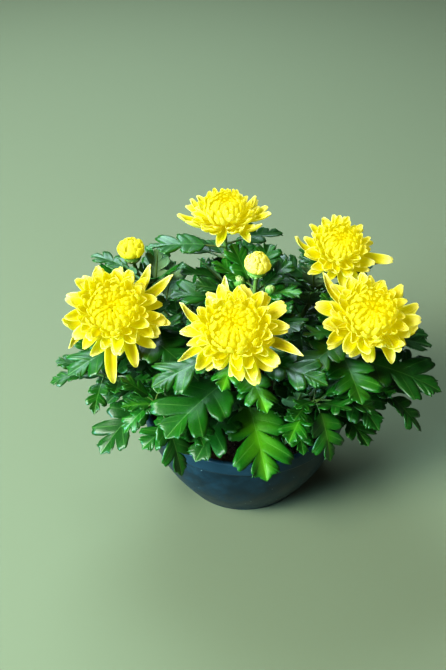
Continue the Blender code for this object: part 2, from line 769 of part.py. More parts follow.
def all_stems():
    """Every stem by name: those under the blooms and opening buds, then the leafy shoots."""
    stems = {}
    for name, foot in FLOWER_FEET.items():
        if name in BLOOMS:
            frame = bloom_frame(BLOOMS[name])
            radius = BLOOM_CUP_RADIUS
        else:
            place, facing, _ = OPENING_BUDS[name.replace("_bud", "")]
            frame = facing_frame(place, facing)
            radius = BUD_CUP_RADIUS
        axis = frame.col[2].to_3d()
        stems[name] = Stem(mm(*foot, 0)[:2], frame.translation - axis * (CUP_SEAT * radius + GAP), axis)
    for name, (foot, end, facing) in SHOOTS.items():
        stems[name] = Stem(mm(*foot, 0)[:2], mm(*end), Vector(facing).normalized())
    return stems


def leaves_of(name, stem):
    """A stem's leaves: the drawn ones, then those set by the golden angle."""
    leaves = list(DRAWN_LEAVES.get(name, ()))
    for leaf in leaves:
        if leaf.share in WHOLE_LEAVES.get(name, ()):
            leaf.freedom = WHOLE_FREEDOM
    count, turn, first = RULE_LEAVES.get(name, (0, 0, 0))
    for i in range(count):
        share = first - RULE_SPREAD * i / max(count, FEWEST_STEPS)
        angle = math.radians(turn + GOLDEN_ANGLE * i)
        length = RULE_LENGTH[0] + RULE_LENGTH[1] * math.sin(2.3 * i + turn)
        lift = math.radians(RULE_LIFT[0] - RULE_LIFT[1] * (1 - share))
        ahead = Vector((math.cos(angle) * math.cos(lift), math.sin(angle) * math.cos(lift), math.sin(lift)))
        tip = stem_point(stem, share) + ahead * length
        leaves.append(Leaf(share, tip, RULE_ARCH, RULE_WIDTH, RULE_FREEDOM))
    return leaves


def place_leaves(stems, bodies, blooms):
    """Picks a clear place for every leaf, drawn leaves first, and gives the rows of each by stem."""
    solids = {name: object_tree(thing) for name, thing in bodies.items()}
    flowers = [object_tree(thing) for thing in blooms]
    taken = []
    placed = {name: [] for name in stems}
    tries = leaf_tries()
    queue = [(leaf.freedom, name, leaf) for name, stem in stems.items() for leaf in leaves_of(name, stem)]
    queue.sort(key=lambda entry: entry[0])
    for _, name, leaf in queue:
        base = stem_point(stems[name], leaf.share)
        rows = first_clear(leaf, base, name, tries, solids, flowers, taken)
        if rows is None:
            print(f"{name}: no clear place for the leaf to {[round(1000 * c) for c in leaf.tip]}")
            continue
        placed[name].append(rows)
        taken.append(surface_tree(rows))
    return placed


def first_clear(leaf, base, name, tries, solids, flowers, taken):
    for attempt in tries:
        rows = leaf_rows(changed(leaf, base, attempt), base)
        surface = surface_tree(rows)
        samples = surface[1]
        if outside_plant(samples) or through_pot(samples) or hides_a_bloom(samples):
            continue
        if any(too_near(surface, flower, LEAF_CLEARANCE) for flower in flowers):
            continue
        if any(too_near(surface, other, LEAF_CLEARANCE) for other in taken):
            continue
        if any(too_near(surface, solid, LEAF_CLEARANCE) for key, solid in solids.items() if key != name):
            continue
        return rows
    return None


def add_green_buds(name, stem, collection):
    """The closed green buds on short stalks below the centre bud."""
    for i, (place, radius) in enumerate(GREEN_BUDS):
        start = stem_point(stem, STALK_ROOTS[i])
        end = Vector(place)
        across = (end - start).cross(UP)
        middle = (start + end) / 2 + across.cross(end - start).normalized() * STALK_BOW
        points = [bend(start, middle, end, j / STALK_STEPS) for j in range(STALK_STEPS + 1)]
        tube(f"{name}_stalk", points, [STALK_RADIUS] * len(points), collection)
        profile = [(radius * r, radius * h) for r, h in GREEN_BUD_PROFILE]
        turned_at(f"{name}_green_bud", profile, GREEN_BUD_SIDES, Matrix.Translation(end), collection)


def make_stem(name, stem, body, rows_of_leaves, home):
    """A leafy stem with all that is green on it, as one solid."""
    repeats = new_collection("stem_" + name + "_leaves")
    for rows in rows_of_leaves:
        blade("leaf", rows, LEAF_THICKNESS, repeats)
    if name in BLOOMS:
        cup("cup", bloom_frame(BLOOMS[name]), BLOOM_CUP_RADIUS, repeats)
    elif name.endswith("_bud"):
        place, facing, _ = OPENING_BUDS[name.replace("_bud", "")]
        cup("cup", facing_frame(place, facing), BUD_CUP_RADIUS, repeats)
    if name == "centre_bud":
        add_green_buds(name, stem, repeats)
    return fuse("stem_" + name, body, repeats, home)


def set_origin(thing, frame):
    """Gives a node its own origin and axes, without moving its surface."""
    thing.data.transform(frame.inverted())
    thing.matrix_world = frame


def finish_nodes(groups):
    """Gives each node its own material and hangs them all from one empty at the centre of the pot's base."""
    root = new_object("plant_base", None, bpy.context.scene.collection)
    for things, look in groups:
        for thing in things:
            thing.data.materials.clear()
            thing.data.materials.append(new_material(thing.name + "_look", *look))
            thing.parent = root
            mesh = evaluated_mesh(thing)
            mesh.calc_loop_triangles()
            print(f"{thing.name}: {len(mesh.loop_triangles)} triangles")


def main():
    clear_scene()
    home = new_collection("pot_chrysanthemum")
    cutters = new_collection("cutters")
    stems = all_stems()
    pot = make_pot(home)
    soil = make_soil(stems, home, cutters)
    blooms = [make_bloom("bloom_" + name, bloom, home) for name, bloom in BLOOMS.items()]
    buds = [make_opening_bud("bud_" + name, *bud, home) for name, bud in OPENING_BUDS.items()]
    bodies = {name: stem_tube("tube_" + name, stem, home) for name, stem in stems.items()}
    placed = place_leaves(stems, bodies, blooms + buds)
    greens = [make_stem(name, stem, bodies[name], placed[name], home) for name, stem in stems.items()]
    print("leaves placed:", sum(len(rows) for rows in placed.values()))

    for thing, bloom in zip(blooms, BLOOMS.values()):
        set_origin(thing, bloom_frame(bloom))
    for thing, (place, facing, _) in zip(buds, OPENING_BUDS.values()):
        set_origin(thing, facing_frame(place, facing))
    for thing, stem in zip(greens, stems.values()):
        set_origin(thing, Matrix.Translation((*stem.foot, SOIL_TOP)))
    finish_nodes((
        ([pot], PLASTIC), ([soil], PEAT), (blooms, PETAL), (buds, OPENING_PETAL), (greens, LEAF_GREEN),
    ))


main()
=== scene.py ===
# %% [markdown]
# # A pot chrysanthemum in bloom
#
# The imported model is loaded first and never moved. It gives the true place and size of the pot, the
# soil, every bloom and every leafy stem. Each of those plain solids is then replaced by the finer
# piece that stands in the same place: petals with a channel and a notched tip, leaves with round
# lobes, teeth and veins, ribbed stems, and peat.

# %% Load the frame
import json
import math
import random
from dataclasses import dataclass
from functools import partial

import bmesh
import bpy
from mathutils import Matrix, Vector, noise
from mathutils.bvhtree import BVHTree

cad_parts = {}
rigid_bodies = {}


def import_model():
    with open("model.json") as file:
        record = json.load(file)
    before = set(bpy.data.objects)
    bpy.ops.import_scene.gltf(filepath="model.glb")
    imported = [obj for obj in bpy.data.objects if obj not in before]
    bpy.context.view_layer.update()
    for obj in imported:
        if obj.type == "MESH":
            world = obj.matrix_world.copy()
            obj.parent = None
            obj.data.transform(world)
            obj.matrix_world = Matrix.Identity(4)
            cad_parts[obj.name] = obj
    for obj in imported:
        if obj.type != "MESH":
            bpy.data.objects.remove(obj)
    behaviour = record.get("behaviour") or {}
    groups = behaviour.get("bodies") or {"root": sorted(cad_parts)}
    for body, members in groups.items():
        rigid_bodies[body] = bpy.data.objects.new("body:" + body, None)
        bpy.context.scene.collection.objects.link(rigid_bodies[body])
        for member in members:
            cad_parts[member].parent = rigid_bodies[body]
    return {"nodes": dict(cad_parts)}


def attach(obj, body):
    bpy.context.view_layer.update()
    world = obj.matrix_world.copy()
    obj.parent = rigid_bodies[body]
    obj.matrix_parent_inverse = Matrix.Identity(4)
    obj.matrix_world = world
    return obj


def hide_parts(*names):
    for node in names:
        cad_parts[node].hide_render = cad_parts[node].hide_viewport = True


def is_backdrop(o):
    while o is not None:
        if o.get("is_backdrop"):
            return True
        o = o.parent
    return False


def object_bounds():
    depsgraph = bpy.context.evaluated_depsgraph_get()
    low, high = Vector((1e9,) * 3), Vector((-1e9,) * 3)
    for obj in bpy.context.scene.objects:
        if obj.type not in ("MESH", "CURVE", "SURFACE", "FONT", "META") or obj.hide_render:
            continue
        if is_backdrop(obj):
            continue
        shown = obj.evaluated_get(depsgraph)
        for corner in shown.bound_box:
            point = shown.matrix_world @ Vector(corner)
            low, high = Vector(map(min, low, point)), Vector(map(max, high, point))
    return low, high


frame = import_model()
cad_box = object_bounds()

print("nodes in the frame:", len(frame["nodes"]))

# %% [markdown]
# ## Helpers
#
# Colours are written as sRGB hex, as a paint program shows them, and one function turns them into
# the linear values that Blender works in. One more adds a node to a tree, sets it up and links it.
# The same function serves shader trees and Geometry Nodes trees.

# %% Colours and nodes
MM = 0.001
UP = Vector((0, 0, 1))
SEED = 7
# Settings that these kinds of node have wherever they are added here.
USUAL_SETTINGS = {
    "ShaderNodeMix": {"data_type": "RGBA"},
    "ShaderNodeMapRange": {"interpolation_type": "SMOOTHSTEP"},
}


def linear(hex_colour):
    """An sRGB hex colour as the linear red, green, blue and alpha that a socket takes."""
    channels = [int(hex_colour[i:i + 2], 16) / 255 for i in (1, 3, 5)]
    return (*[c / 12.92 if c <= 0.04045 else ((c + 0.055) / 1.055) ** 2.4 for c in channels], 1.0)


def plug(node, sockets):
    """Sets or links a node's input sockets. A dict names them, and a tuple gives those in use, in order.
    A node that is given as a value means its first output in use."""
    if isinstance(sockets, tuple):
        in_use = [i for i, socket in enumerate(node.inputs) if socket.enabled]
        sockets = dict(zip(in_use, sockets))
    for key, value in sockets.items():
        if isinstance(value, bpy.types.Node):
            value = next(output for output in value.outputs if output.enabled)
        if isinstance(value, bpy.types.NodeSocket):
            node.id_data.links.new(value, node.inputs[key])
        else:
            node.inputs[key].default_value = value
    return node


def add_node(tree, kind, sockets=(), **settings):
    """Adds a node to a tree with its settings and links."""
    node = tree.nodes.new(kind)
    for name, value in {**USUAL_SETTINGS.get(kind, {}), **settings}.items():
        setattr(node, name, value)
    return plug(node, sockets)


def new_finish(name):
    """A material, the function that adds a node to its tree, and its shader."""
    finish = bpy.data.materials.new(name)
    finish.use_nodes = True
    tree = finish.node_tree
    return finish, partial(add_node, tree), tree.nodes["Principled BSDF"]


# %% Objects and meshes
def new_object(name, data):
    made = bpy.data.objects.new(name, data)
    bpy.context.scene.collection.objects.link(made)
    return made


def mesh_of(name, bm):
    """What bmesh has built, as a mesh."""
    mesh = bpy.data.meshes.new(name)
    bm.to_mesh(mesh)
    bm.free()
    return mesh


def plain_mesh(thing):
    """The mesh of an object with its modifiers applied. The object itself is removed."""
    depsgraph = bpy.context.evaluated_depsgraph_get()
    mesh = bpy.data.meshes.new_from_object(thing.evaluated_get(depsgraph))
    thing.modifiers.clear()
    bpy.data.objects.remove(thing)
    return mesh


def store(mesh, name, kind, values):
    """Writes an attribute of a mesh's points."""
    data = mesh.attributes.new(name, kind, "POINT").data
    data.foreach_set("vector" if kind == "FLOAT_VECTOR" else "value", values)


def put_in_place(piece, slot_name, *nodes):
    """Hangs a finished piece on the body and hides the imported nodes that it stands for. Its slot name is
    not used.
    """
    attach(piece, "root")
    if nodes:
        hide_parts(*nodes)
    return piece


# %% Geometry Nodes trees
def new_geometry_tree(name, **inputs):
    """A tree with its named inputs, the function that adds a node to it, and its first node."""
    tree = bpy.data.node_groups.new(name, "GeometryNodeTree")
    for label, kind in {"Geometry": "Geometry", **inputs}.items():
        tree.interface.new_socket(label, in_out="INPUT", socket_type="NodeSocket" + kind)
    tree.interface.new_socket("Geometry", in_out="OUTPUT", socket_type="NodeSocketGeometry")
    return tree, partial(add_node, tree), add_node(tree, "NodeGroupInput")


def end_geometry_tree(add, start, geometry):
    """The last nodes of a tree: real geometry, because the export drops instances, and its material."""
    real = add("GeometryNodeRealizeInstances", (geometry,))
    finish = add("GeometryNodeSetMaterial", {"Geometry": real, "Material": start.outputs["Finish"]})
    add("NodeGroupOutput", (finish,))


def grown(name, source, tree, inputs):
    """Runs a Geometry Nodes tree on a source mesh and gives what grew as a new object with a plain mesh."""
    seed = new_object(name + "_source", source)
    modifier = seed.modifiers.new(tree.name, "NODES")
    modifier.node_group = tree
    for item in tree.interface.items_tree:
        if item.in_out == "INPUT" and item.name in inputs:
            modifier[item.identifier] = inputs[item.name]
    mesh = plain_mesh(seed)
    mesh.name = name
    finish = mesh.materials[-1]
    mesh.materials.clear()
    mesh.materials.append(finish)
    mesh.polygons.foreach_set("material_index", [0] * len(mesh.polygons))
    return new_object(name, mesh)


# %% [markdown]
# ## Camera, floor and light
#
# The photograph looks down at the plant by about 36 degrees. A pale floor and four soft lamps make
# a plain studio. The key light is to the upper left. The large lamp behind the plant gives leaves
# their pale gloss, because the camera sees it mirrored in every leaf that lies flat. A low, cool
# lamp to the left stands for a window: a grid in front of it narrows its spread, and it lights the
# side of the pot. A weak lamp fills the shadows to the right.

# %% Camera
CAMERA_TARGET = Vector((-0.0158, 0.0, 0.128))
CAMERA_DISTANCE = 0.62
CAMERA_ELEVATION = math.radians(36)
LENS_MM = 47.3


def aim(thing, target):
    """Turns a camera or a lamp to look at a point."""
    thing.rotation_euler = (target - thing.location).to_track_quat("-Z", "Y").to_euler()


def make_camera():
    camera = new_object("camera", bpy.data.cameras.new("camera"))
    camera.data.lens = LENS_MM
    camera.data.clip_start = 0.01
    away = Vector((0, -math.cos(CAMERA_ELEVATION), math.sin(CAMERA_ELEVATION)))
    camera.location = CAMERA_TARGET + away * CAMERA_DISTANCE
    aim(camera, CAMERA_TARGET)
    bpy.context.scene.camera = camera


make_camera()

# %% Floor and lamps
FLOOR_SIZE = 8.0
LAMP_TARGET = Vector((0, 0, 0.13))
SKY_STRENGTH = 0.06
VIEW_GAMMA = 0.87
# Each lamp's place and size in metres, its watts, its colour, and the angle that its light spreads
# over.
LAMPS = {
    "key": ((-0.95, -0.75, 1.25), 0.65, 55.0, "#fffdf8", 180),
    "gloss": ((-0.45, 1.05, 1.40), 0.90, 45.0, "#d8ecff", 180),
    "window": ((-1.25, -0.75, 0.46), 0.8, 23.0, "#a2d2ec", 100),
    "fill": ((1.3, -0.9, 0.7), 1.2, 1.2, "#ffffff", 180),
}


def make_floor():
    bm = bmesh.new()
    bmesh.ops.create_grid(bm, x_segments=1, y_segments=1, size=FLOOR_SIZE / 2)
    floor = new_object("floor", mesh_of("floor", bm))
    paper, _, shader = new_finish("matte_paper_floor")
    plug(shader, {"Base Color": linear("#727b60"), "Roughness": 0.9, "Specular IOR Level": 0.1})
    floor.data.materials.append(paper)
    floor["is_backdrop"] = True


def make_lamps():
    for name, (place, size, watts, colour, spread) in LAMPS.items():
        lamp = new_object(name, bpy.data.lights.new(name, "AREA"))
        lamp.data.size = size
        lamp.data.energy = watts
        lamp.data.spread = math.radians(spread)
        lamp.data.color = linear(colour)[:3]
        lamp.location = place
        aim(lamp, LAMP_TARGET)


def make_sky():
    world = bpy.data.worlds.new("studio")
    world.use_nodes = True
    plug(world.node_tree.nodes["Background"], {"Color": linear("#f2f6ff"), "Strength": SKY_STRENGTH})
    bpy.context.scene.world = world


make_floor()
make_lamps()
make_sky()
bpy.context.scene.view_settings.view_transform = "Standard"
bpy.context.scene.view_settings.gamma = VIEW_GAMMA
print("lamps:", ", ".join(LAMPS))

# %% [markdown]
# ## The plant's plan
#
# These are the same named places that the solids were modelled from: where each bloom is and how
# far each of its outermost petals reaches, where each stem leaves the soil, and where each leaf's
# tip lies. Angles are clock angles as seen from the front of a bloom, and places are millimetres.

# %% Blooms and buds
SOIL_TOP = 0.062
SOIL_CROWN = 0.003
STEM_DEPTH = 0.014
GAP = 0.0003
BLOOM_MIDDLE = 0.36
STRAIGHT_UP = 0.995
# For each bloom: its middle, the way it faces, its radius, and its outermost petals, each by its
# clock angle, its reach, its droop and, where that isn't plain, its family.
BLOOMS = {
    "left": ((-87, -30, 170), (0.00, -0.70, 0.71), 31.0, (
        (8, 30, 0), (37, 39, -3, "pointed"), (58, 45, -1, "pointed"), (81, 32, 0), (103, 38, 1, "folded"),
        (131, 36, 2), (158, 39, 7, "spoon"), (181, 46, 10, "spoon"), (206, 33, 2), (231, 38, 2, "hooked"),
        (258, 34, 0, "looped"), (287, 34, 0, "broad"), (315, 31, 0), (342, 31, 0))),
    "centre": ((-8.5, -66, 180), (-0.14, -0.60, 0.79), 30.5, (
        (6, 29, 0), (33, 31, 0), (58, 34, 0), (80, 32, 0), (102, 44, 1, "pointed"), (126, 33, 2, "broad"),
        (149, 36, 3, "broad"), (177, 28, 1), (207, 30, 2), (236, 40, 3, "hooked"), (263, 33, 0),
        (290, 41, -1, "hooked"), (315, 32, 0), (339, 37, -3, "pointed"))),
    "right": ((78, -37, 170), (0.05, -0.58, 0.81), 30.0, (
        (10, 30, 0), (31, 29, 0), (53, 30, 0), (78, 36, 0, "looped"), (103, 33, 1, "looped"), (129, 30, 1),
        (157, 33, 4, "spoon"), (183, 29, 2, "broad"), (209, 29, 2), (236, 33, 2), (263, 30, 1, "broad"),
        (290, 35, 1, "broad"), (320, 41, -3, "pointed"), (347, 31, 0))),
    "upper_right": ((64, 22, 187), (0.06, -0.52, 0.85), 24.5, (
        (2, 24, 0), (28, 24, 0), (54, 24, 0), (80, 26, 0), (106, 39, 3, "broad"), (131, 26, 1),
        (155, 27, 2), (179, 28, 6, "spoon"), (206, 26, 2), (235, 28, 2), (262, 25, 0),
        (292, 31, -2, "hooked"), (318, 25, 0), (341, 24, 0))),
    "top": ((-14.5, 38, 204), (0.00, -0.20, 0.98), 25.5, (
        (0, 27, -2), (26, 27, -3), (52, 28, -4, "cupped"), (76, 31, -5, "cupped"), (98, 32, -6, "cupped"),
        (121, 29, -8, "cupped"), (143, 28, 4, "spoon"), (167, 25, -9, "cupped"), (190, 26, 5, "spoon"),
        (216, 26, -9, "cupped"), (242, 30, -7, "cupped"), (268, 33, -5, "cupped"), (300, 28, -4),
        (333, 27, -2))),
}
# For each opening bud: its place, the way it faces and its radius.
OPENING_BUDS = {
    "left": ((-80, 35, 172), (-0.10, -0.10, 0.99), 9.0),
    "centre": ((6.7, -1, 182), (0.05, -0.15, 0.98), 9.2),
}
# For each closed bud: its place, its radius and its share of the stem.
GREEN_BUDS = (((-4.8, 3.5, 170), 4.6, 0.66), ((16.0, -4.5, 169), 3.6, 0.70))


def facing_frame(origin, facing):
    """Axes of a flower: right, up and facing, as someone in front of it sees them."""
    axis = Vector(facing).normalized()
    upward = (UP - axis * UP.dot(axis)) if axis.z < STRAIGHT_UP else Vector((0, 1, 0))
    upward.normalize()
    turn = Matrix((upward.cross(axis), upward, axis)).transposed().to_4x4()
    return Matrix.Translation(origin) @ turn


def bloom_frame(name):
    middle, facing, radius, _ = BLOOMS[name]
    axis = Vector(facing).normalized()
    return facing_frame(Vector(middle) * MM - axis * radius * MM * BLOOM_MIDDLE, facing)


def bud_frame(name):
    place, facing, _ = OPENING_BUDS[name]
    return facing_frame(Vector(place) * MM, facing)


print("blooms:", len(BLOOMS), "outer petals:", sum(len(bloom[3]) for bloom in BLOOMS.values()))

# %% [markdown]
# ## Living petals
#
# A ray floret is a thin strap of damp tissue. Its face is a strong lemon yellow. Towards its foot and
# down the middle of its channel the face is painted a deeper gold: painted shade, where the petal
# lies in the shade of its neighbours and of its own channel. Its rims and tip are cream, partly the
# tissue's own colour and partly a painted highlight, and its back is paler and waxy. Fine lengthwise
# veins, a little under a millimetre apart, show as bump. Light passes into such a strap and out
# again, which the shader's subsurface scattering gives. Light also comes through from the petals
# behind, so that the hollows stay golden and not grey. Renders lose that light at the first petal,
# so a weak yellow glow of the tissue's own, a painted light, stands for it. It is stronger in the
# heart. There the colour is also painted darker, as painted shade, and more golden, partly the
# heart's own colour and partly painted shade, because there the petals are packed most closely.
#
# In the node calls, the five numbers of a Map Range node are its value, the range that it comes
# from and the range that it goes to. A Mix node's are its factor and its two colours.

# %% Petal tissue
VEINS_ACROSS_PETAL = 9
TISSUE_GLOW = 0.29
HEART_GLOW = 0.27
GOLDEN_EYE_AND_SHADE = 0.5
HEART_PAINTED_SHADE = 0.80


def petal_tissue(name, *colours):
    face, gold_and_painted_shade, back, edge = (linear(colour) for colour in colours)
    finish, add, shader = new_finish(name)
    place = add("ShaderNodeSeparateXYZ", (add("ShaderNodeUVMap", uv_map="strap"),))
    across, along, _ = place.outputs
    inner, tint, underside = (
        add("ShaderNodeAttribute", attribute_name=label).outputs["Fac"]
        for label in ("inner", "tint", "underside")
    )
    offset = add("ShaderNodeMath", (across, 0.5), operation="SUBTRACT")
    from_middle = add("ShaderNodeMath", (offset,), operation="ABSOLUTE")
    # Painted shade: the face turns gold down the middle of its channel and towards its foot.
    painted_shade_in_channel = add("ShaderNodeMapRange", (from_middle, 0.0, 0.26, 0.45, 0.0))
    painted_shade_near_foot = add("ShaderNodeMapRange", (along, 0.05, 0.55, 1.0, 0.0))
    depth = add("ShaderNodeMath", (painted_shade_in_channel, painted_shade_near_foot), operation="MAXIMUM")
    with_painted_shade = add("ShaderNodeMix", (depth, face, gold_and_painted_shade))
    outer = add("ShaderNodeMath", (1.0, inner), operation="SUBTRACT")
    # Outer petals turn cream at the rims and tip: partly the tissue's own cream, partly a painted highlight.
    by_rim = add("ShaderNodeMapRange", (from_middle, 0.38, 0.5, 0.0, 0.42))
    by_tip = add("ShaderNodeMapRange", (along, 0.7, 1.0, 0.0, 0.60))
    with_cream_and_highlight = with_painted_shade
    for share in (by_rim, by_tip):
        outside = add("ShaderNodeMath", (share, outer), operation="MULTIPLY")
        with_cream_and_highlight = add("ShaderNodeMix", (outside, with_cream_and_highlight, edge))
    varied = add("ShaderNodeMath", (tint, 0.35), operation="MULTIPLY")
    toned = add("ShaderNodeMix", (varied, with_cream_and_highlight, gold_and_painted_shade))
    behind = add("ShaderNodeMix", (inner, back, face))
    sided = add("ShaderNodeMix", (underside, toned, behind))
    # Painted shade in the heart: its colour is darkened towards olive, where the florets are packed most
    # closely.
    shade = add("ShaderNodeMath", (inner, HEART_PAINTED_SHADE), operation="MULTIPLY")
    shaded = add("ShaderNodeMix", (shade, sided, linear("#8f8400")))
    # The heart's golden eye: partly its own colour, partly painted shade.
    cubed = add("ShaderNodeMath", (inner, 3.0), operation="POWER")
    golden = add("ShaderNodeMath", (cubed, GOLDEN_EYE_AND_SHADE), operation="MULTIPLY")
    colour = add("ShaderNodeMix", (golden, shaded, gold_and_painted_shade))
    turns = add("ShaderNodeMath", (across, math.tau * VEINS_ACROSS_PETAL), operation="MULTIPLY")
    veins = add("ShaderNodeMath", (turns,), operation="SINE")
    # Painted glow: emission that stands for light coming through from the petals behind.
    glow = add("ShaderNodeMath", (inner, HEART_GLOW, TISSUE_GLOW), operation="MULTIPLY_ADD")
    plug(shader, {
        "Base Color": colour,
        "Roughness": 0.55,
        "Specular IOR Level": 0.16,
        "Normal": add("ShaderNodeBump", {"Height": veins, "Strength": 0.35, "Distance": 0.00012}),
        "Subsurface Weight": 0.40,
        "Subsurface Radius": (1.0, 0.8, 0.15),
        "Subsurface Scale": 0.003,
        "Emission Color": linear("#f0e600"),
        "Emission Strength": glow,
    })
    return finish


# Each finish by its face, its gold (also the painted shade of throat and channel), its back, and its rims'
# cream and painted highlight.
ray_floret = petal_tissue("ray_floret_lemon", "#b1ae00", "#ab9000", "#c2be50", "#e0dc9c")
half_open_floret = petal_tissue("half_open_floret_yellow", "#beb800", "#ac9400", "#c6c02a", "#d8d27c")
closed_floret = petal_tissue("closed_floret_cream", "#c4be3c", "#a6981a", "#ccc65e", "#dad69a")
print("petal finishes:", ray_floret.name, half_open_floret.name, closed_floret.name)

# %% [markdown]
# ## Petal forms
#
# No two florets of a double bloom are alike. Some are long and pointed, some are broad with
# lengthwise grooves, some hook to one side or roll in at the end, and those of the heart curl over
# it. Every form here is a small strap: it follows an arc, its edges rise to a channel, and its tip
# is pointed, or round with a notch. A form is one unit long and one unit wide, so that the same
# form can be set down at any size.

# %% Forms
@dataclass
class Family:
    """What the straps of one family share: width as a share of length, turn along the strap in degrees,
    depth of the channel, sharpness of the tip, notch, twist in degrees, sideways sweep, how late the turn
    comes, and depth of the lengthwise grooves."""

    share: float
    turn: float
    channel: float
    point: float = 0.3
    notch: float = 0.03
    twist: float = 10
    sweep: float = 0.18
    late: float = 1.3
    groove: float = 0.03
    grid: tuple = (6, 10)


# Lanes and steps of a floret that is too small to show more.
SIMPLE = (4, 7)
FAMILIES = {
    "strap": Family(0.24, 44, 0.62, point=0.5, sweep=0.60, twist=18),
    "broad": Family(0.34, 24, 0.30, point=0.0, notch=0.045, groove=0.055, sweep=0.12),
    "pointed": Family(0.18, 52, 1.00, point=0.9, notch=0.0, sweep=1.00, twist=18, late=1.8),
    "hooked": Family(0.18, 70, 0.90, point=0.85, notch=0.0, sweep=1.60, late=2.2, twist=16),
    "folded": Family(0.30, 30, 1.10, point=0.35, sweep=0.25),
    "looped": Family(0.36, 120, 0.30, point=0.1, late=1.8, groove=0.05),
    "spoon": Family(0.24, -30, 1.50, point=0.30, notch=0.0, groove=0.06, sweep=0.50, late=1.0),
    "drooping": Family(0.24, -36, 0.40, point=0.45, notch=0.02),
    "cupped": Family(0.30, 56, 0.60, point=0.3, groove=0.05, sweep=0.45, twist=16),
    "curling": Family(0.32, 72, 0.60, point=0.55, twist=16, sweep=0.50),
    "incurved": Family(0.30, 96, 0.35, point=0.5, late=1.5, groove=0.0, sweep=0.25, grid=SIMPLE),
    "whorl": Family(
        0.20, 128, 0.25, point=0.5, notch=0.0, groove=0.0, twist=4, sweep=0.15, late=1.6, grid=SIMPLE
    ),
    "closing": Family(0.46, 108, 0.50, point=0.25, twist=6, groove=0.05),
    "bract": Family(0.42, 58, 0.30, point=0.6, notch=-0.05, twist=4, sweep=0.03, grid=SIMPLE),
}
VARIANTS = 4
CHANNELS, SWEEPS, TURNS = (0.7, 1.2), (0.6, 1.2), (0.75, 1.25)
SIDE_BEND = 1.7
FRILL_HEIGHT = 0.05
TIP_BULGE = 0.05
TIP_SHORTENING = 0.04
NOTCH_WIDTH = 0.28


def arc_course(turn, steps, late):
    """Points along an arc from (0, 0) to (1, 0) that turns more towards its end, and its normals."""
    angles = [turn * ((i + 0.5) / steps) ** late for i in range(steps)]
    points = [Vector((0, 0))]
    for angle in angles:
        points.append(points[-1] + Vector((math.cos(angle), math.sin(angle))))
    end = points[-1]
    span = end.length
    back = math.atan2(end.y, end.x)
    level = Matrix.Rotation(-back, 2)
    course = [level @ point / span for point in points]
    headings = [(angles[max(i - 1, 0)] + angles[min(i, steps - 1)]) / 2 - back for i in range(steps + 1)]
    return course, [Vector((-math.sin(a), math.cos(a))) for a in headings]


def strap_width(along, point):
    """Half-width of a petal from its narrow foot to its tip, round at point 0 and sharp at point 1."""
    foot = 0.36 - 0.08 * point
    rise = foot + (1 - foot) * math.sin(min(along / (0.62 - 0.14 * point), 1) * math.pi / 2)
    start = 0.66 - 0.12 * point
    fall = max(0.0, 1 - (max(along - start, 0) / (1.06 - start)) ** 2) ** (0.5 + 0.45 * point)
    return 0.5 * rise * fall


def petal_form(name, family, hand, draw):
    """A sheet of unit length and width that lies along +Y, faces +Z and bends sideways to one hand."""
    look = FAMILIES[family]
    lanes, steps = look.grid
    channel = look.channel * draw.uniform(*CHANNELS)
    twist = math.radians(look.twist * draw.uniform(-1, 1))
    sweep = look.sweep * hand * draw.uniform(*SWEEPS)
    frill_start = draw.uniform(0, math.tau)
    turn = math.radians(look.turn * draw.uniform(*TURNS))
    course, normals = arc_course(turn, steps, look.late)
    bm = bmesh.new()
    uv = bm.loops.layers.uv.new("strap")
    bmesh.ops.create_grid(bm, x_segments=lanes, y_segments=steps, size=1)
    at = {}
    for vert in bm.verts:
        across, row = vert.co.x, round((vert.co.y + 1) / 2 * steps)
        along = row / steps
        at[vert] = (across, along)
        half = strap_width(along, look.point)
        frill = FRILL_HEIGHT * math.sin(8 * along + 2 * across + frill_start) * across ** 2
        groove = look.groove * math.cos(3 * math.pi * across) * math.sin(math.pi * along)
        bowl = channel * (across ** 2 - 0.25) + twist * along ** 2 * across
        height = look.share * (half * bowl + groove + frill)
        notch = look.notch * math.exp(-(across / NOTCH_WIDTH) ** 2)
        tip = (TIP_BULGE * (1 - across ** 2) - notch) * along ** 6
        y, z = course[row] + normals[row] * height
        side = across * half + SIDE_BEND * sweep * (along ** 2 - along)
        vert.co = (side, y + tip - TIP_SHORTENING * along ** 6, z)
    for face in bm.faces:
        for loop in face.loops:
            across, along = at[loop.vert]
            loop[uv].uv = ((across + 1) / 2, along)
    return mesh_of(name, bm)


def thickened(name, mesh, thickness):
    """A sheet made solid. Its back is marked in an attribute named underside."""
    sheet = new_object(name, mesh)
    for _ in range(2):
        mesh.materials.append(None)
    wall = sheet.modifiers.new("thickness", "SOLIDIFY")
    wall.thickness = thickness
    wall.offset = 0
    wall.material_offset = 1
    solid = plain_mesh(sheet)
    mark = solid.attributes.new("underside", "FLOAT", "FACE")
    for i, polygon in enumerate(solid.polygons):
        mark.data[i].value = float(polygon.material_index == 1)
        polygon.material_index = 0
    solid.materials.clear()
    solid.shade_smooth()
    solid.name = name
    return solid


def new_collection(name):
    """A collection for the forms that a tree copies. It is removed at the end."""
    made = bpy.data.collections.new(name)
    bpy.context.scene.collection.children.link(made)
    return made


# The forms' thickness as a share of their length.
PETAL_WALL = 0.012
forms = new_collection("petal_forms")
form_draw = random.Random(SEED)
form_number = {}
for family in FAMILIES:
    form_number[family] = len(forms.objects)
    for i in range(VARIANTS):
        label = f"form_{len(forms.objects):02d}_{family}"
        solid = thickened(label, petal_form(label, family, -1 if i % 2 == 0 else 1, form_draw), PETAL_WALL)
        forms.objects.link(bpy.data.objects.new(label, solid))

# %% [markdown]
# ## Setting petals round a flower
#
# Every petal is a point that carries where it starts, which way it runs, which way its face looks,
# how big it is and which form it takes. A Geometry Nodes tree sets the form down on each point,
# turns it by those two directions and makes the whole flower one mesh. The same tree later sets the
# green bracts round the cups.

# %% Petal tree
EACH_FORM = {"Separate Children": True, "Reset Children": True}


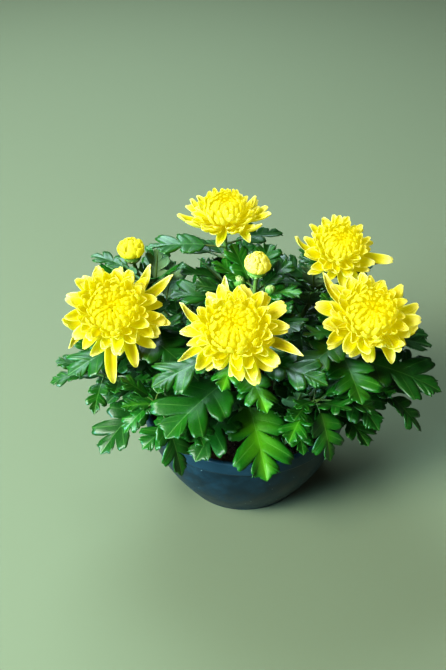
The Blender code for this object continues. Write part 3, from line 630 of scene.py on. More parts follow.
def make_petal_tree():
    inputs = {"Forms": "Collection", "Finish": "Material", "Size": "Float"}
    tree, add, start = new_geometry_tree("petals_on_points", **inputs)
    run, face, size = (
        add("GeometryNodeInputNamedAttribute", {"Name": name}, data_type="FLOAT_VECTOR")
        for name in ("run", "face", "size")
    )
    petals = add("GeometryNodeInstanceOnPoints", {
        "Points": start,
        "Instance": add("GeometryNodeCollectionInfo", {"Collection": start.outputs["Forms"], **EACH_FORM}),
        "Pick Instance": True,
        "Instance Index": add("GeometryNodeInputNamedAttribute", {"Name": "form"}, data_type="INT"),
        "Rotation": add("FunctionNodeAxesToRotation", (run, face), primary_axis="Y", secondary_axis="Z"),
        "Scale": add("ShaderNodeVectorMath", {0: size, "Scale": start.outputs["Size"]}, operation="SCALE"),
    })
    end_geometry_tree(add, start, petals)
    return tree


petal_tree = make_petal_tree()


def petal_points(name, petals):
    """A mesh of loose points, one for each petal, with the petal's plan as attributes."""
    mesh = bpy.data.meshes.new(name)
    mesh.from_pydata([petal["root"] for petal in petals], [], [])
    for label in ("run", "face", "size"):
        store(mesh, label, "FLOAT_VECTOR", [c for petal in petals for c in petal[label]])
    for label, kind in (("form", "INT"), ("tint", "FLOAT"), ("inner", "FLOAT")):
        store(mesh, label, kind, [petal[label] for petal in petals])
    return mesh


def set_petals(name, petals, finish):
    """The petals of a plan as one object."""
    inputs = {"Forms": forms, "Finish": finish, "Size": 1.0}
    return grown(name, petal_points("petal_plan", petals), petal_tree, inputs)


def petal_plan(place, clock, root, tip, width, family, draw, roll):
    """A petal from root to tip, each given as (distance from the axis, height) in metres."""
    turn = math.radians(clock)
    outward = Vector((math.sin(turn), math.cos(turn), 0))
    chord = Vector((tip[0] - root[0], tip[1] - root[1]))
    length = chord.length
    chord /= length
    run = outward * chord.x + UP * chord.y
    face = UP * chord.x - outward * chord.y
    face = Matrix.Rotation(math.radians(draw.uniform(-roll, roll)), 3, run) @ face
    turned = place.to_3x3()
    return {
        "root": place @ (outward * root[0] + UP * root[1]),
        "run": turned @ run,
        "face": turned @ face,
        "size": (width, length, length),
        "form": form_number[family] + draw.randrange(VARIANTS),
        "tint": draw.random(),
        "inner": 0.0,
    }


def ring_of(place, radius, ring, draw, shift=0.0, jitter=4, roll=4, heights=(1.0,)):
    """A ring of petals alike. Root, tip and width are shares of the radius, and the petals' heights vary
    between two shares where two are given."""
    count, root, tip, width, family = ring
    petals = []
    for i in range(count):
        clock = 360 * (i + shift) / count + draw.uniform(-jitter, jitter)
        height = draw.uniform(*heights) if len(heights) == 2 else heights[0]
        near = (radius * root[0], radius * root[1])
        far = (radius * tip[0], radius * tip[1] * height)
        petals.append(petal_plan(place, clock, near, far, radius * width, family, draw, roll))
    return petals


# %% [markdown]
# ## Open blooms
#
# A double bloom is built from outside in. The outermost ring keeps the reach, droop and form of
# each petal of the plan, so the flower has the same ragged outline. The rings inside it get shorter
# and narrower, stand up more steeply and curl in more, until the small florets of the heart close
# over a golden eye. Where a bloom leans towards the viewer, the florets of its near side stand up
# and show their pale backs.

# %% Bloom pieces
# For each ring: number of petals, root and tip as (distance, height), and width, all in shares of
# the radius, then the families that its petals are drawn from.
RINGS = (
    (15, (0.17, 0.12), (1.02, 0.27), 0.30, ("strap", "broad", "cupped", "strap")),
    (15, (0.17, 0.15), (0.91, 0.43), 0.26, ("strap", "cupped", "curling", "folded")),
    (15, (0.16, 0.18), (0.79, 0.57), 0.25, ("cupped", "curling", "curling", "folded")),
    (16, (0.15, 0.21), (0.67, 0.68), 0.23, ("curling",)),
    (17, (0.14, 0.24), (0.55, 0.76), 0.20, ("curling", "incurved")),
    (18, (0.14, 0.26), (0.43, 0.80), 0.18, ("incurved",)),
    (19, (0.13, 0.28), (0.31, 0.82), 0.16, ("whorl",)),
    (17, (0.11, 0.30), (0.21, 0.81), 0.14, ("whorl",)),
    (13, (0.08, 0.32), (0.13, 0.78), 0.12, ("whorl",)),
    (8, (0.04, 0.34), (0.05, 0.74), 0.10, ("whorl",)),
)
OUTER_ROOT = (0.17, 0.08)
OUTER_TIP_HEIGHT = 0.20
OUTER_WIDTH = 0.27
OUTER_STAGGER = 0.0007
OUTER_ROLL = 8
RING_ROLL = 16
RING_TURN = 13
RING_JITTER = 6
LIFT_DRAWS_IN = 0.4
DROOPING = 3
# How far the florets of a bloom's near side stand up, in shares of its radius.
NEAR_SIDE_LIFT = {"left": 0.04, "centre": 0.08, "right": 0.24, "upper_right": 0.14, "top": 0.22}
LOOSE_RINGS = 4
LOOSE_REACHES, CLOSE_REACHES, WIDTHS = (0.80, 1.15), (0.92, 1.06), (0.85, 1.15)
# Families of the outermost ring that are wider or narrower than the others.
WIDER = {"broad": 1.25, "looped": 1.2, "spoon": 1.0, "pointed": 0.84, "hooked": 0.72}
CLAWS = ("pointed", "hooked")
# Claws get more of the rims' cream and painted highlight than any other petal, so they are set further out
# than the outermost ring.
CLAW_INNER = -0.7


def outer_petals(name, draw):
    """The outermost petals, each with the reach and droop of the plan."""
    _, _, radius, outer = BLOOMS[name]
    radius *= MM
    petals = []
    for i, (clock, reach, droop, *chosen) in enumerate(outer):
        stagger = OUTER_STAGGER * (1 - 2 * (i % 2))
        root = (radius * OUTER_ROOT[0], radius * OUTER_ROOT[1] + stagger)
        tip = (reach * MM, radius * OUTER_TIP_HEIGHT - droop * MM + 2 * stagger)
        family = chosen[0] if chosen else "strap" if droop < DROOPING else "drooping"
        width = radius * OUTER_WIDTH * WIDER.get(family, 1.0)
        petal = petal_plan(bloom_frame(name), clock, root, tip, width, family, draw, OUTER_ROLL)
        if family in CLAWS:
            hand = int(math.sin(math.radians(2 * clock)) < 0)
            petal["form"] = form_number[family] + 2 * draw.randrange(2) + hand
            petal["inner"] = CLAW_INNER
        petals.append(petal)
    return petals


def ring_petals(name, ring, draw):
    """One of the rings inside the outermost petals."""
    radius = BLOOMS[name][2] * MM
    count, root, tip, width, families = RINGS[ring]
    petals = []
    for i in range(count):
        clock = 360 * (i + 0.5 * (ring % 2)) / count + RING_TURN * ring
        clock += draw.uniform(-RING_JITTER, RING_JITTER)
        lift = NEAR_SIDE_LIFT[name] * max(0, -math.cos(math.radians(clock))) ** 2 * (1 - ring / len(RINGS))
        near = (radius * root[0], radius * root[1])
        reach = draw.uniform(*(LOOSE_REACHES if ring < LOOSE_RINGS else CLOSE_REACHES))
        inward = radius * (tip[0] - LIFT_DRAWS_IN * lift) * reach
        far = (inward, radius * (tip[1] + lift) * draw.uniform(*CLOSE_REACHES))
        wide = radius * width * draw.uniform(*WIDTHS)
        petal = petal_plan(bloom_frame(name), clock, near, far, wide, draw.choice(families), draw, RING_ROLL)
        petal["inner"] = ring / (len(RINGS) - 1)
        petals.append(petal)
    return petals


bloom_draw = random.Random(SEED + 1)
for name in BLOOMS:
    petals = outer_petals(name, bloom_draw)
    for ring in range(len(RINGS)):
        petals += ring_petals(name, ring, bloom_draw)
    bloom = put_in_place(set_petals("open_bloom_" + name, petals, ray_floret), "petals", "bloom_" + name)
    print(bloom.name, "petals:", len(petals), "faces:", len(bloom.data.polygons))

# %% [markdown]
# ## Buds that show yellow
#
# An opening bud is a squat ball of florets that still close over the top. Rings of strongly hooked
# petals, each starting at the foot and ending nearer the crown, give that wrapped look, and a few
# tiny ones fill the crown. The bud to the left is further open and already a strong yellow, with
# fewer, broader petals.

# %% Opening buds
# For each bud its finish, and for each of its rings the number of petals, root, tip and width in
# shares of the radius.
BUD_RINGS = {
    "left": (half_open_floret, (
        (8, (0.50, 0.08), (0.92, 1.04), 0.86), (7, (0.42, 0.12), (0.66, 1.34), 0.84),
        (6, (0.30, 0.16), (0.40, 1.49), 0.72), (5, (0.16, 0.40), (0.16, 1.56), 0.50),
        (3, (0.05, 0.60), (0.05, 1.54), 0.40),
    )),
    "centre": (closed_floret, (
        (12, (0.50, 0.08), (0.82, 0.94), 0.60), (11, (0.42, 0.12), (0.60, 1.24), 0.54),
        (9, (0.30, 0.16), (0.36, 1.42), 0.44), (6, (0.16, 0.40), (0.16, 1.50), 0.36),
        (3, (0.05, 0.60), (0.05, 1.48), 0.34),
    )),
}
BUD_HEIGHTS = (0.94, 1.04)

for name, (tissue, rings) in BUD_RINGS.items():
    place, radius = bud_frame(name), OPENING_BUDS[name][2] * MM
    petals = []
    for i, ring in enumerate(rings):
        petals += ring_of(place, radius, (*ring, "closing"), bloom_draw, 0.5 * i, 5, 8, BUD_HEIGHTS)
    bud = put_in_place(set_petals("opening_bud_" + name, petals, tissue), "opening_petals", "bud_" + name)
    print(bud.name, "faces:", len(bud.data.polygons))

# %% [markdown]
# ## Stems and leaves: the plan
#
# A stem leaves the soil upright and ends along its flower's axis. A leaf is given by its share of
# the stem, its tip, its arch and its width. In the solids some leaves were turned or lifted a
# little to stand clear of each other, so each leaf here tries the same small changes and keeps the
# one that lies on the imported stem's own surface.

# %% Stems
STEM_STEPS = 4
STEM_HANDLES = (0.42, 0.36)
STEM_RADII = (0.0023, 0.0015)
CUP_SEAT = 0.6
BLOOM_CUP_RADIUS = 0.0085
BUD_CUP_RADIUS = 0.0062
FLOWER_FEET = {
    "left": (-26, -10), "centre": (-3, -28), "right": (26, -14), "upper_right": (24, 16), "top": (-6, 26),
    "left_bud": (-26, 18), "centre_bud": (3, 0),
}
# For each leafy shoot: its foot, its end and its last direction.
SHOOTS = {
    "front_left": ((-22, -34), (-62, -66, 122), (-0.5, -0.5, 0.7)),
    "front_right": ((24, -36), (48, -58, 118), (0.4, -0.5, 0.8)),
    "far_left": ((-40, -16), (-104, -30, 118), (-0.85, -0.2, 0.5)),
    "far_right": ((40, -12), (94, -36, 108), (0.85, -0.2, 0.45)),
    "side_left": ((-42, 8), (-77, 30, 112), (-0.7, 0.3, 0.6)),
    "side_right": ((40, 12), (82, 22, 110), (0.75, 0.2, 0.6)),
    "back_left": ((-20, 40), (-45, 67, 116), (-0.4, 0.6, 0.65)),
    "back_right": ((22, 40), (48, 64, 118), (0.5, 0.6, 0.6)),
    "back": ((2, 46), (2, 80, 118), (0, 0.75, 0.6)),
}


def stem_ends():
    """Foot, end and last direction of every stem."""
    ends = {}
    for name, foot in FLOWER_FEET.items():
        is_bloom = name in BLOOMS
        place = bloom_frame(name) if is_bloom else bud_frame(name.replace("_bud", ""))
        radius = BLOOM_CUP_RADIUS if is_bloom else BUD_CUP_RADIUS
        axis = place.col[2].to_3d()
        ends[name] = (foot, place.translation - axis * (CUP_SEAT * radius + GAP), axis)
    for name, (foot, end, facing) in SHOOTS.items():
        ends[name] = (foot, Vector(end) * MM, Vector(facing).normalized())
    return ends


STEMS = stem_ends()


def stem_course(name, share):
    """A point of a stem's smooth course."""
    foot, end, facing = STEMS[name]
    start = Vector((foot[0] * MM, foot[1] * MM, SOIL_TOP + SOIL_CROWN))
    first = start + UP * STEM_HANDLES[0] * (end.z - start.z)
    last = end - facing * STEM_HANDLES[1] * (end - start).length
    rest = 1 - share
    return start * rest ** 3 + first * 3 * share * rest ** 2 + last * 3 * share ** 2 * rest + end * share ** 3


def stem_point(name, share):
    """Where a leaf leaves its stem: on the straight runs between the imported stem's knots."""
    knot = min(int(share * STEM_STEPS), STEM_STEPS - 1)
    start, end = (stem_course(name, (knot + i) / STEM_STEPS) for i in (0, 1))
    return start.lerp(end, share * STEM_STEPS - knot)


print("stems:", len(STEMS))

# %% Leaf places
# For each leaf: share of the stem, tip, arch, width, and youth from 0 for old and dark to 1 for
# young and bright.
DRAWN_LEAVES = {
    "centre": (
        (0.34, (13, -93, 77), 0.20, 1.30, 0.72), (0.52, (-52, -92, 114), 0.14, 1.25, 0.35),
        (0.60, (12, -84, 128), 0.12, 1.0, 0.80), (0.70, (50, -76, 144), 0.10, 0.9, 0.30),
        (0.78, (-60, -80, 146), 0.12, 1.1, 0.25), (0.88, (-20, -88, 150), 0.08, 1.0, 0.70),
        (0.30, (-34, -84, 86), 0.16, 1.2, 0.30), (0.26, (30, -66, 84), 0.14, 1.2, 0.25),
    ),
    "left": (
        (0.84, (-66, -84, 136), 0.12, 1.2, 0.20), (0.70, (-58, -36, 161), 0.10, 1.0, 0.40),
        (0.66, (-114, -52, 130), 0.12, 1.1, 0.35), (0.42, (-72, -50, 96), 0.14, 1.2, 0.30),
        (0.30, (-38, -52, 88), 0.14, 1.2, 0.25),
    ),
    "right": (
        (0.84, (37, -66, 152), 0.10, 1.0, 0.35), (0.58, (131, -46, 114), 0.14, 1.1, 0.25),
        (0.50, (88, -66, 97), 0.16, 1.0, 0.30), (0.78, (130, -10, 126), 0.10, 1.0, 0.20),
        (0.68, (72, -78, 130), 0.10, 1.1, 0.40), (0.36, (62, -58, 90), 0.14, 1.2, 0.20),
        (0.44, (30, -44, 112), 0.12, 1.1, 0.30),
    ),
    "upper_right": (
        (0.86, (38, 44, 172), 0.10, 1.0, 0.30), (0.80, (100, 56, 158), 0.12, 1.0, 0.20),
        (0.72, (112, 6, 138), 0.10, 1.0, 0.15), (0.44, (40, -20, 122), 0.10, 1.1, 0.25),
    ),
    "top": (
        (0.88, (-70, 33, 180), 0.12, 1.0, 0.35), (0.80, (-60, 66, 166), 0.10, 1.0, 0.25),
        (0.90, (28, 64, 174), 0.10, 1.0, 0.30), (0.78, (-26, 88, 154), 0.12, 1.0, 0.30),
    ),
    "left_bud": ((0.90, (-112, 52, 162), 0.10, 1.0, 0.30), (0.82, (-62, 74, 156), 0.12, 1.0, 0.30)),
    "centre_bud": (
        (0.78, (-52, -6, 164), 0.12, 1.2, 0.40), (0.84, (38, -4, 166), 0.10, 1.2, 0.60),
        (0.70, (34, -38, 158), 0.10, 1.2, 0.25), (0.90, (-24, 16, 178), 0.10, 1.0, 0.45),
        (0.66, (-32, -34, 152), 0.10, 1.1, 0.45), (0.44, (-30, -30, 122), 0.10, 1.2, 0.25),
    ),
    "front_left": (
        (0.92, (-43, -84, 73), 0.26, 1.0, 0.40), (0.98, (-80, -78, 106), 0.16, 1.1, 0.45),
        (0.62, (-28, -88, 100), 0.16, 1.1, 0.40), (0.50, (-70, -70, 84), 0.16, 1.1, 0.45),
    ),
    "front_right": (
        (0.92, (56, -74, 77), 0.24, 1.2, 0.60), (0.80, (26, -88, 106), 0.14, 1.1, 0.60),
        (0.98, (84, -66, 116), 0.12, 1.1, 0.30), (0.50, (34, -80, 88), 0.16, 1.0, 0.45),
    ),
    "far_left": ((0.98, (-134, -34, 112), 0.16, 1.0, 0.25), (0.92, (-101, -62, 108), 0.16, 0.9, 0.30)),
    "far_right": (
        (0.98, (120, -52, 84), 0.16, 1.0, 0.25), (0.90, (128, -20, 98), 0.12, 1.0, 0.30),
        (0.80, (110, -40, 92), 0.16, 0.9, 0.35),
    ),
}
# Of these, the leaves that show whole. In the solids they have moved only half as far from where
# they are drawn.
WHOLE_LEAVES = {
    "centre": (0.34, 0.52, 0.70), "right": (0.58, 0.50, 0.78), "top": (0.88,), "front_left": (0.92,),
    "front_right": (0.92,), "far_left": (0.98, 0.92), "far_right": (0.98, 0.90),
}
WHOLE_FREEDOM = 0.5
# Leaves set round a stem by the golden angle: how many, the first one's direction and place.
RULE_LEAVES = {
    "back": (4, 70, 0.97), "back_left": (4, 120, 0.97), "back_right": (4, 40, 0.97),
    "side_left": (4, 170, 0.97), "side_right": (4, 0, 0.97), "left_bud": (1, 200, 0.5), "top": (1, 20, 0.55),
    "upper_right": (1, 60, 0.5), "far_right": (1, 300, 0.5), "far_left": (1, 240, 0.5),
}
GOLDEN_ANGLE = 137.5
RULE_RUN = 0.58
RULE_LIFT, RULE_SINK = 4, 26
RULE_LENGTH, RULE_LENGTH_SWING, SWING_TURN = 0.055, 0.006, 2.3
RULE_YOUTH, RULE_YOUTH_STEP = 0.2, 0.1
RULE_ARCH, RULE_WIDTH, RULE_FREEDOM = 0.14, 1.15, 2.0
TRY_TURNS = (0, 5, -5, 10, -10, 17, -17, 26, -26, 36, -36)
TRY_LIFTS = (0, 5, -5, 11, -11, 18, -18)
TRY_SIZES = (1.0, 0.9, 0.8)
LIFT_COST, SIZE_COST = 1.3, 130
TRIES = sorted(
    ((turn, lift, size) for turn in TRY_TURNS for lift in TRY_LIFTS for size in TRY_SIZES),
    key=lambda t: (abs(t[0]) + LIFT_COST * abs(t[1]) + SIZE_COST * (1 - t[2]), t),
)


def heading(turn, lift):
    """The direction at an angle round the vertical and an angle above level."""
    return Vector((math.cos(turn) * math.cos(lift), math.sin(turn) * math.cos(lift), math.sin(lift)))


def planned_leaves(name):
    """A stem's leaves as drawn: share, tip, arch, width, freedom to move and youth."""
    leaves = []
    for share, tip, arch, width, youth in DRAWN_LEAVES.get(name, ()):
        freedom = WHOLE_FREEDOM if share in WHOLE_LEAVES.get(name, ()) else 1.0
        leaves.append((share, Vector(tip) * MM, arch, width, freedom, youth))
    count, turn, first = RULE_LEAVES.get(name, (0, 0, 0))
    for i in range(count):
        share = first - RULE_RUN * i / max(count, 4)
        lift = RULE_LIFT - RULE_SINK * (1 - share)
        ahead = heading(math.radians(turn + GOLDEN_ANGLE * i), math.radians(lift))
        length = RULE_LENGTH + RULE_LENGTH_SWING * math.sin(SWING_TURN * i + turn)
        youth = RULE_YOUTH + RULE_YOUTH_STEP * (i % 3)
        tip = stem_point(name, share) + ahead * length
        leaves.append((share, tip, RULE_ARCH, RULE_WIDTH, RULE_FREEDOM, youth))
    return leaves


def moved_tip(base, tip, freedom, attempt):
    turn, lift, size = attempt
    reach = tip - base
    across = reach.cross(UP).normalized()
    reach = Matrix.Rotation(math.radians(lift * freedom), 3, across) @ reach
    reach = Matrix.Rotation(math.radians(turn * freedom), 3, UP) @ reach
    return base + reach * size


# %% [markdown]
# ## The form of a leaf
#
# A chrysanthemum leaf is a stalk, a midrib, and on each side three round lobes with a side vein
# running to each. The blade is laid out along those veins: one number runs up the midrib and the
# other runs out along a vein, which leans further forward the nearer it is to the tip. The blade
# rises between its veins like a quilt, and its edge carries small teeth.

# %% Leaf form
# The blade's half-width along the midrib, both as shares of its length: the foot, then lobes and
# clefts in turn.
LEAF_EDGE = (
    (0.0, 0.035), (0.20, 0.330), (0.35, 0.170), (0.47, 0.390), (0.61, 0.180), (0.71, 0.225), (1.0, 0.0),
)
LOBES = (0.20, 0.47, 0.71)
# The lobes and clefts of the plain leaf that the solids have.
PACKED_EDGE = ((0.20, 0.330), (0.35, 0.170), (0.48, 0.390), (0.64, 0.180), (0.77, 0.240))
STALK_SHARE = 0.24
STALK_HALF_WIDTH = 0.0009
VEIN_ANGLES = (math.radians(72), math.radians(26))
LEAF_LEAN = 0.35
LEAF_FOLD = 0.16
LEAF_WAVE = 0.10
WAVE_TURNS = 1.3
WAVE_SHIFT = 300
TIP_FAN = math.radians(55)
LOBE_ROUNDNESS = 2.1
TIP_ROUNDNESS = 1.0
TOOTH_DEPTH = 0.030
TEETH_FADE = 0.12
CLEFT_SPREAD = 0.08
QUILT_HEIGHT = 0.0003
QUILT_REACH_MM = 2.0
LEAF_WALL = 0.0004


def bend(start, middle, end, share):
    """A point of a simple bend from start to end, drawn towards its middle."""
    return start * (1 - share) ** 2 + middle * 2 * share * (1 - share) + end * share ** 2


def spine(base, tip, arch):
    """The midrib's course: a function from a share of the leaf to point, heading, side and upper side."""
    reach = tip - base
    outward = Vector((reach.x, reach.y, 0.0001)).normalized()
    hint = (UP + outward * LEAF_LEAN).normalized()
    middle = (base + tip) / 2 + hint * arch * reach.length

    def at(share):
        ahead = ((middle - base) * (1 - share) + (tip - middle) * share).normalized()
        side = ahead.cross(hint).normalized()
        return bend(base, middle, tip, share), ahead, side, side.cross(ahead)

    return at


def edge_spread(along, teeth):
    """How far the blade's edge lies from the midrib: broad, blunt lobes that meet in narrow clefts."""
    for (low, start), (high, end) in zip(LEAF_EDGE, LEAF_EDGE[1:]):
        if along <= high:
            from_crown = (high - along if end > start else along - low) / (high - low)
            power = TIP_ROUNDNESS if high == 1.0 else LOBE_ROUNDNESS
            rise = max(0.0, 1 - from_crown ** power) ** (1 / power)
            lowest = min(start, end, CLEFT_SPREAD) if 0.0 < low and high < 1.0 else min(start, end)
            spread = lowest + (max(start, end) - lowest) * rise
            break
    tooth = TOOTH_DEPTH * (abs(math.sin(math.pi * teeth * along)) - 0.5)
    return spread + tooth * min(1, spread / TEETH_FADE)


def plain_angle(along):
    """Side veins lean further forward the nearer they are to the tip."""
    return VEIN_ANGLES[0] + (VEIN_ANGLES[1] - VEIN_ANGLES[0]) * along


def vein_angle(along):
    """Round the tip itself the veins fan out."""
    return plain_angle(along) + TIP_FAN * max(0.0, along - LOBES[-1]) / (1 - LOBES[-1])


def lean_of(spot, hand, angle, wave):
    """The way that one half of the blade runs out from the midrib: along its veins and a little up."""
    _, ahead, side, over = spot
    return side * hand * math.sin(angle) + ahead * math.cos(angle) + over * (LEAF_FOLD + hand * wave)


def wave_at(along, length):
    """How far the whole blade twists to one side there. It differs from leaf to leaf with their length."""
    return LEAF_WAVE * math.cos(math.tau * WAVE_TURNS * along + length * WAVE_SHIFT)


def check_points(base, tip, arch, width):
    """Points of the plain packed leaf: its edges and midrib at each lobe and cleft."""
    at = spine(base, tip, arch)
    length = (tip - base).length
    points = [tip]
    for along, spread in PACKED_EDGE:
        spot = at(STALK_SHARE + (1 - STALK_SHARE) * along)
        half = length * (1 - STALK_SHARE) * spread * width
        for hand in (-1, 0, 1):
            lean = lean_of(spot, hand, plain_angle(along), wave_at(along, length)) if hand else UP * 0
            points.append(spot[0] + lean * half)
    return points


def surface_of(*nodes):
    """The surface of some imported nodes, for measuring how near a point lies to it."""
    points, faces = [], []
    for mesh in (frame["nodes"][node].data for node in nodes):
        first = len(points)
        points += [v.co.copy() for v in mesh.vertices]
        faces += [tuple(first + i for i in p.vertices) for p in mesh.polygons]
    return BVHTree.FromPolygons(points, faces)


ON_SURFACE = 0.0007


def packed_leaves(name):
    """The stem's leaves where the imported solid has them: base, tip, arch, width and youth."""
    found = []
    surface = surface_of("stem_" + name)
    for share, tip, arch, width, freedom, youth in planned_leaves(name):
        base = stem_point(name, share)
        for attempt in TRIES:
            moved = moved_tip(base, tip, freedom, attempt)
            points = check_points(base, moved, arch, width)
            if all(surface.find_nearest(point, ON_SURFACE)[0] is not None for point in points):
                found.append((base, moved, arch, width, youth))
                break
    return found


leaf_places = {name: packed_leaves(name) for name in STEMS}
print("leaves found in the packed stems:", sum(len(found) for found in leaf_places.values()))

# %% [markdown]
# ## Leaves that fill the gaps
#
# A real plant is denser than the solids. First, leaves of nearly full size go where the photograph
# shows leaves and the solids have a gap: each is given by its tip, and grows from the nearest stem.
# Then small young leaves are set round each stem by the golden angle. A leaf is kept only where it
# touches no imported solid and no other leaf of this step, and where it doesn't cover a bloom or come
# near the pot.

# %% Places of the added leaves
# Tips of the leaves of nearly full size.
FILL_TIPS = (
    (-58, 0, 170), (-64, -15, 166), (-48, 15, 172), (-38, 0, 166), (-31, 25, 173), (-40, -25, 158),
    (-27, -10, 164), (-62, 40, 174), (-21, 18, 177), (-87, 22, 175), (-75, 34, 166), (-106, 40, 162),
    (10, -8, 163), (27, 2, 156), (36, -12, 154), (45, 6, 160), (31, 15, 168), (20, 26, 172), (46, 20, 176),
    (36, -34, 152), (5, 58, 178), (92, 34, 162), (106, 10, 158), (111, -12, 139), (122, -20, 128),
    (57, 0, 158), (-63, -60, 122), (-31, -72, 126), (1, -72, 127), (34, -66, 121), (68, -56, 117),
    (-98, -30, 103), (-118, -22, 101), (-50, -62, 85), (45, -56, 80), (72, -50, 84), (-52, 40, 164),
    (-45, 24, 162), (-11, 28, 184), (35, 22, 178), (12, 38, 178), (38, 8, 165), (-68, 6, 154),
    (30, -20, 166), (87, 28, 171), (-55, 60, 135), (-10, 80, 140), (15, 85, 135), (40, 72, 140),
    (60, 60, 130), (-70, 50, 120), (-20, 70, 150), (25, 62, 155), (0, 60, 160), (90, 20, 140),
    (-95, 10, 140), (-90, 45, 120), (95, 40, 110), (-105, -5, 120), (110, 10, 110), (0, 100, 100),
    (-40, 95, 95), (40, 95, 95),
)
FILL_LENGTH = 0.040
FILL_TRIES = 60
FILL_WIDTH = 1.1
FILL_YOUTH, FILL_YOUTH_STEP = 0.20, 0.12
HANGING_COST = 0.6
FILL_BASES = [0.30 + 0.05 * i for i in range(14)]
LEAST_RISE = 0.006
YOUNG_PER_STEM = 17
YOUNG_TRIES = 14
YOUNG_FIRST, YOUNG_STEP = 0.97, 0.044
TRY_TURN, TURN_JITTER = 26, 9
YOUNG_LENGTHS = (0.022, 0.040)
YOUNG_LIFTS = (8, 62)
YOUTHS = (0.2, 0.6)
YOUNG_WIDTH = 1.05
ADDED_ARCH = 0.12
CLEARANCE = 0.0015
SPACING = 0.0040
BOX_MARGIN = 0.002
LOWEST_LEAF = 0.072
HIGHEST_YOUNG = 0.166
POT_HEIGHT = 0.074
RIM_RADIUS = 0.075
OVER_POT = 0.006
INSIDE_RIM = 0.012
BEHIND_BLOOM, ROUND_BLOOM = 0.4, 1.25

packed_surface = surface_of(*frame["nodes"])
low_corner, high_corner = cad_box


def over_a_bloom(point):
    for middle, facing, radius, _ in BLOOMS.values():
        axis = Vector(facing).normalized()
        away = point - Vector(middle) * MM
        height = away.dot(axis)
        beside = (away - axis * height).length
        if height > -BEHIND_BLOOM * radius * MM and beside < ROUND_BLOOM * radius * MM:
            return True
    return False


def may_stand(point, taken):
    """Whether a point of a leaf is free: inside the plant and clear of every solid and the other leaves."""
    inside = all(low_corner[i] + BOX_MARGIN < point[i] < high_corner[i] - BOX_MARGIN for i in range(3))
    if not inside or point.z < LOWEST_LEAF or over_a_bloom(point):
        return False
    if point.z < POT_HEIGHT + OVER_POT and math.hypot(point.x, point.y) > RIM_RADIUS - INSIDE_RIM:
        return False
    if packed_surface.find_nearest(point, CLEARANCE)[0] is not None:
        return False
    return all((point - other).length > SPACING for other in taken)


def nearest_base(tip):
    """The stem and the point on it from which a leaf of usual length reaches a tip without hanging down."""
    bases = [(name, stem_point(name, share)) for name in STEMS for share in FILL_BASES]

    def effort(base):
        point = base[1]
        return abs((tip - point).length - FILL_LENGTH) + HANGING_COST * max(0, point.z - tip.z + LEAST_RISE)

    return min(bases, key=effort)


def fill_leaf(tip, taken):
    """Adds a leaf that ends near a tip to the nearest stem, if it stands free there."""
    name, base = nearest_base(tip)
    for attempt in TRIES[:FILL_TRIES]:
        moved = moved_tip(base, tip, 1.0, attempt)
        points = check_points(base, moved, ADDED_ARCH, FILL_WIDTH)
        if all(may_stand(point, taken) for point in points):
            youth = FILL_YOUTH + FILL_YOUTH_STEP * (len(taken) % 3)
            leaf_places[name].append((base, moved, ADDED_ARCH, FILL_WIDTH, youth))
            taken += points
            return


def young_leaves(name, taken, draw):
    found = []
    for i in range(YOUNG_PER_STEM):
        base = stem_point(name, YOUNG_FIRST - YOUNG_STEP * i)
        for attempt in range(YOUNG_TRIES):
            jitter = draw.uniform(-TURN_JITTER, TURN_JITTER)
            turn = math.radians(GOLDEN_ANGLE * i + TRY_TURN * attempt + jitter)
            lift = math.radians(draw.uniform(*YOUNG_LIFTS))
            tip = base + heading(turn, lift) * draw.uniform(*YOUNG_LENGTHS)
            points = check_points(base, tip, ADDED_ARCH, YOUNG_WIDTH)
            if tip.z < HIGHEST_YOUNG and all(may_stand(point, taken) for point in points):
                found.append((base, tip, ADDED_ARCH, YOUNG_WIDTH, draw.uniform(*YOUTHS)))
                taken += points
                break
    return found


young_draw = random.Random(SEED + 2)
taken_points = []
for fill_tip in FILL_TIPS:
    fill_leaf(Vector(fill_tip) * MM, taken_points)
print("leaves with those that fill gaps:", sum(len(found) for found in leaf_places.values()))
for name in STEMS:
    leaf_places[name] += young_leaves(name, taken_points, young_draw)
print("leaves with the young ones:", sum(len(found) for found in leaf_places.values()))

# %% [markdown]
# ## Leaf tissue
#
# The upper side is dark, glossy green, the underside paler and matt. Veins are paler lines of
# constant real width, so each point of a blade carries how many millimetres it lies from the midrib
# and from the nearest side vein, and the shader draws them from that. Between them runs a net of
# fine veins, its cells about 2 mm wide, which shows faintly in the colour and as bump.

# %% Leaf finish
NET_CELLS_PER_METRE = 520
BLOTCHES_PER_METRE = 90
GRAINS_PER_METRE = 2200


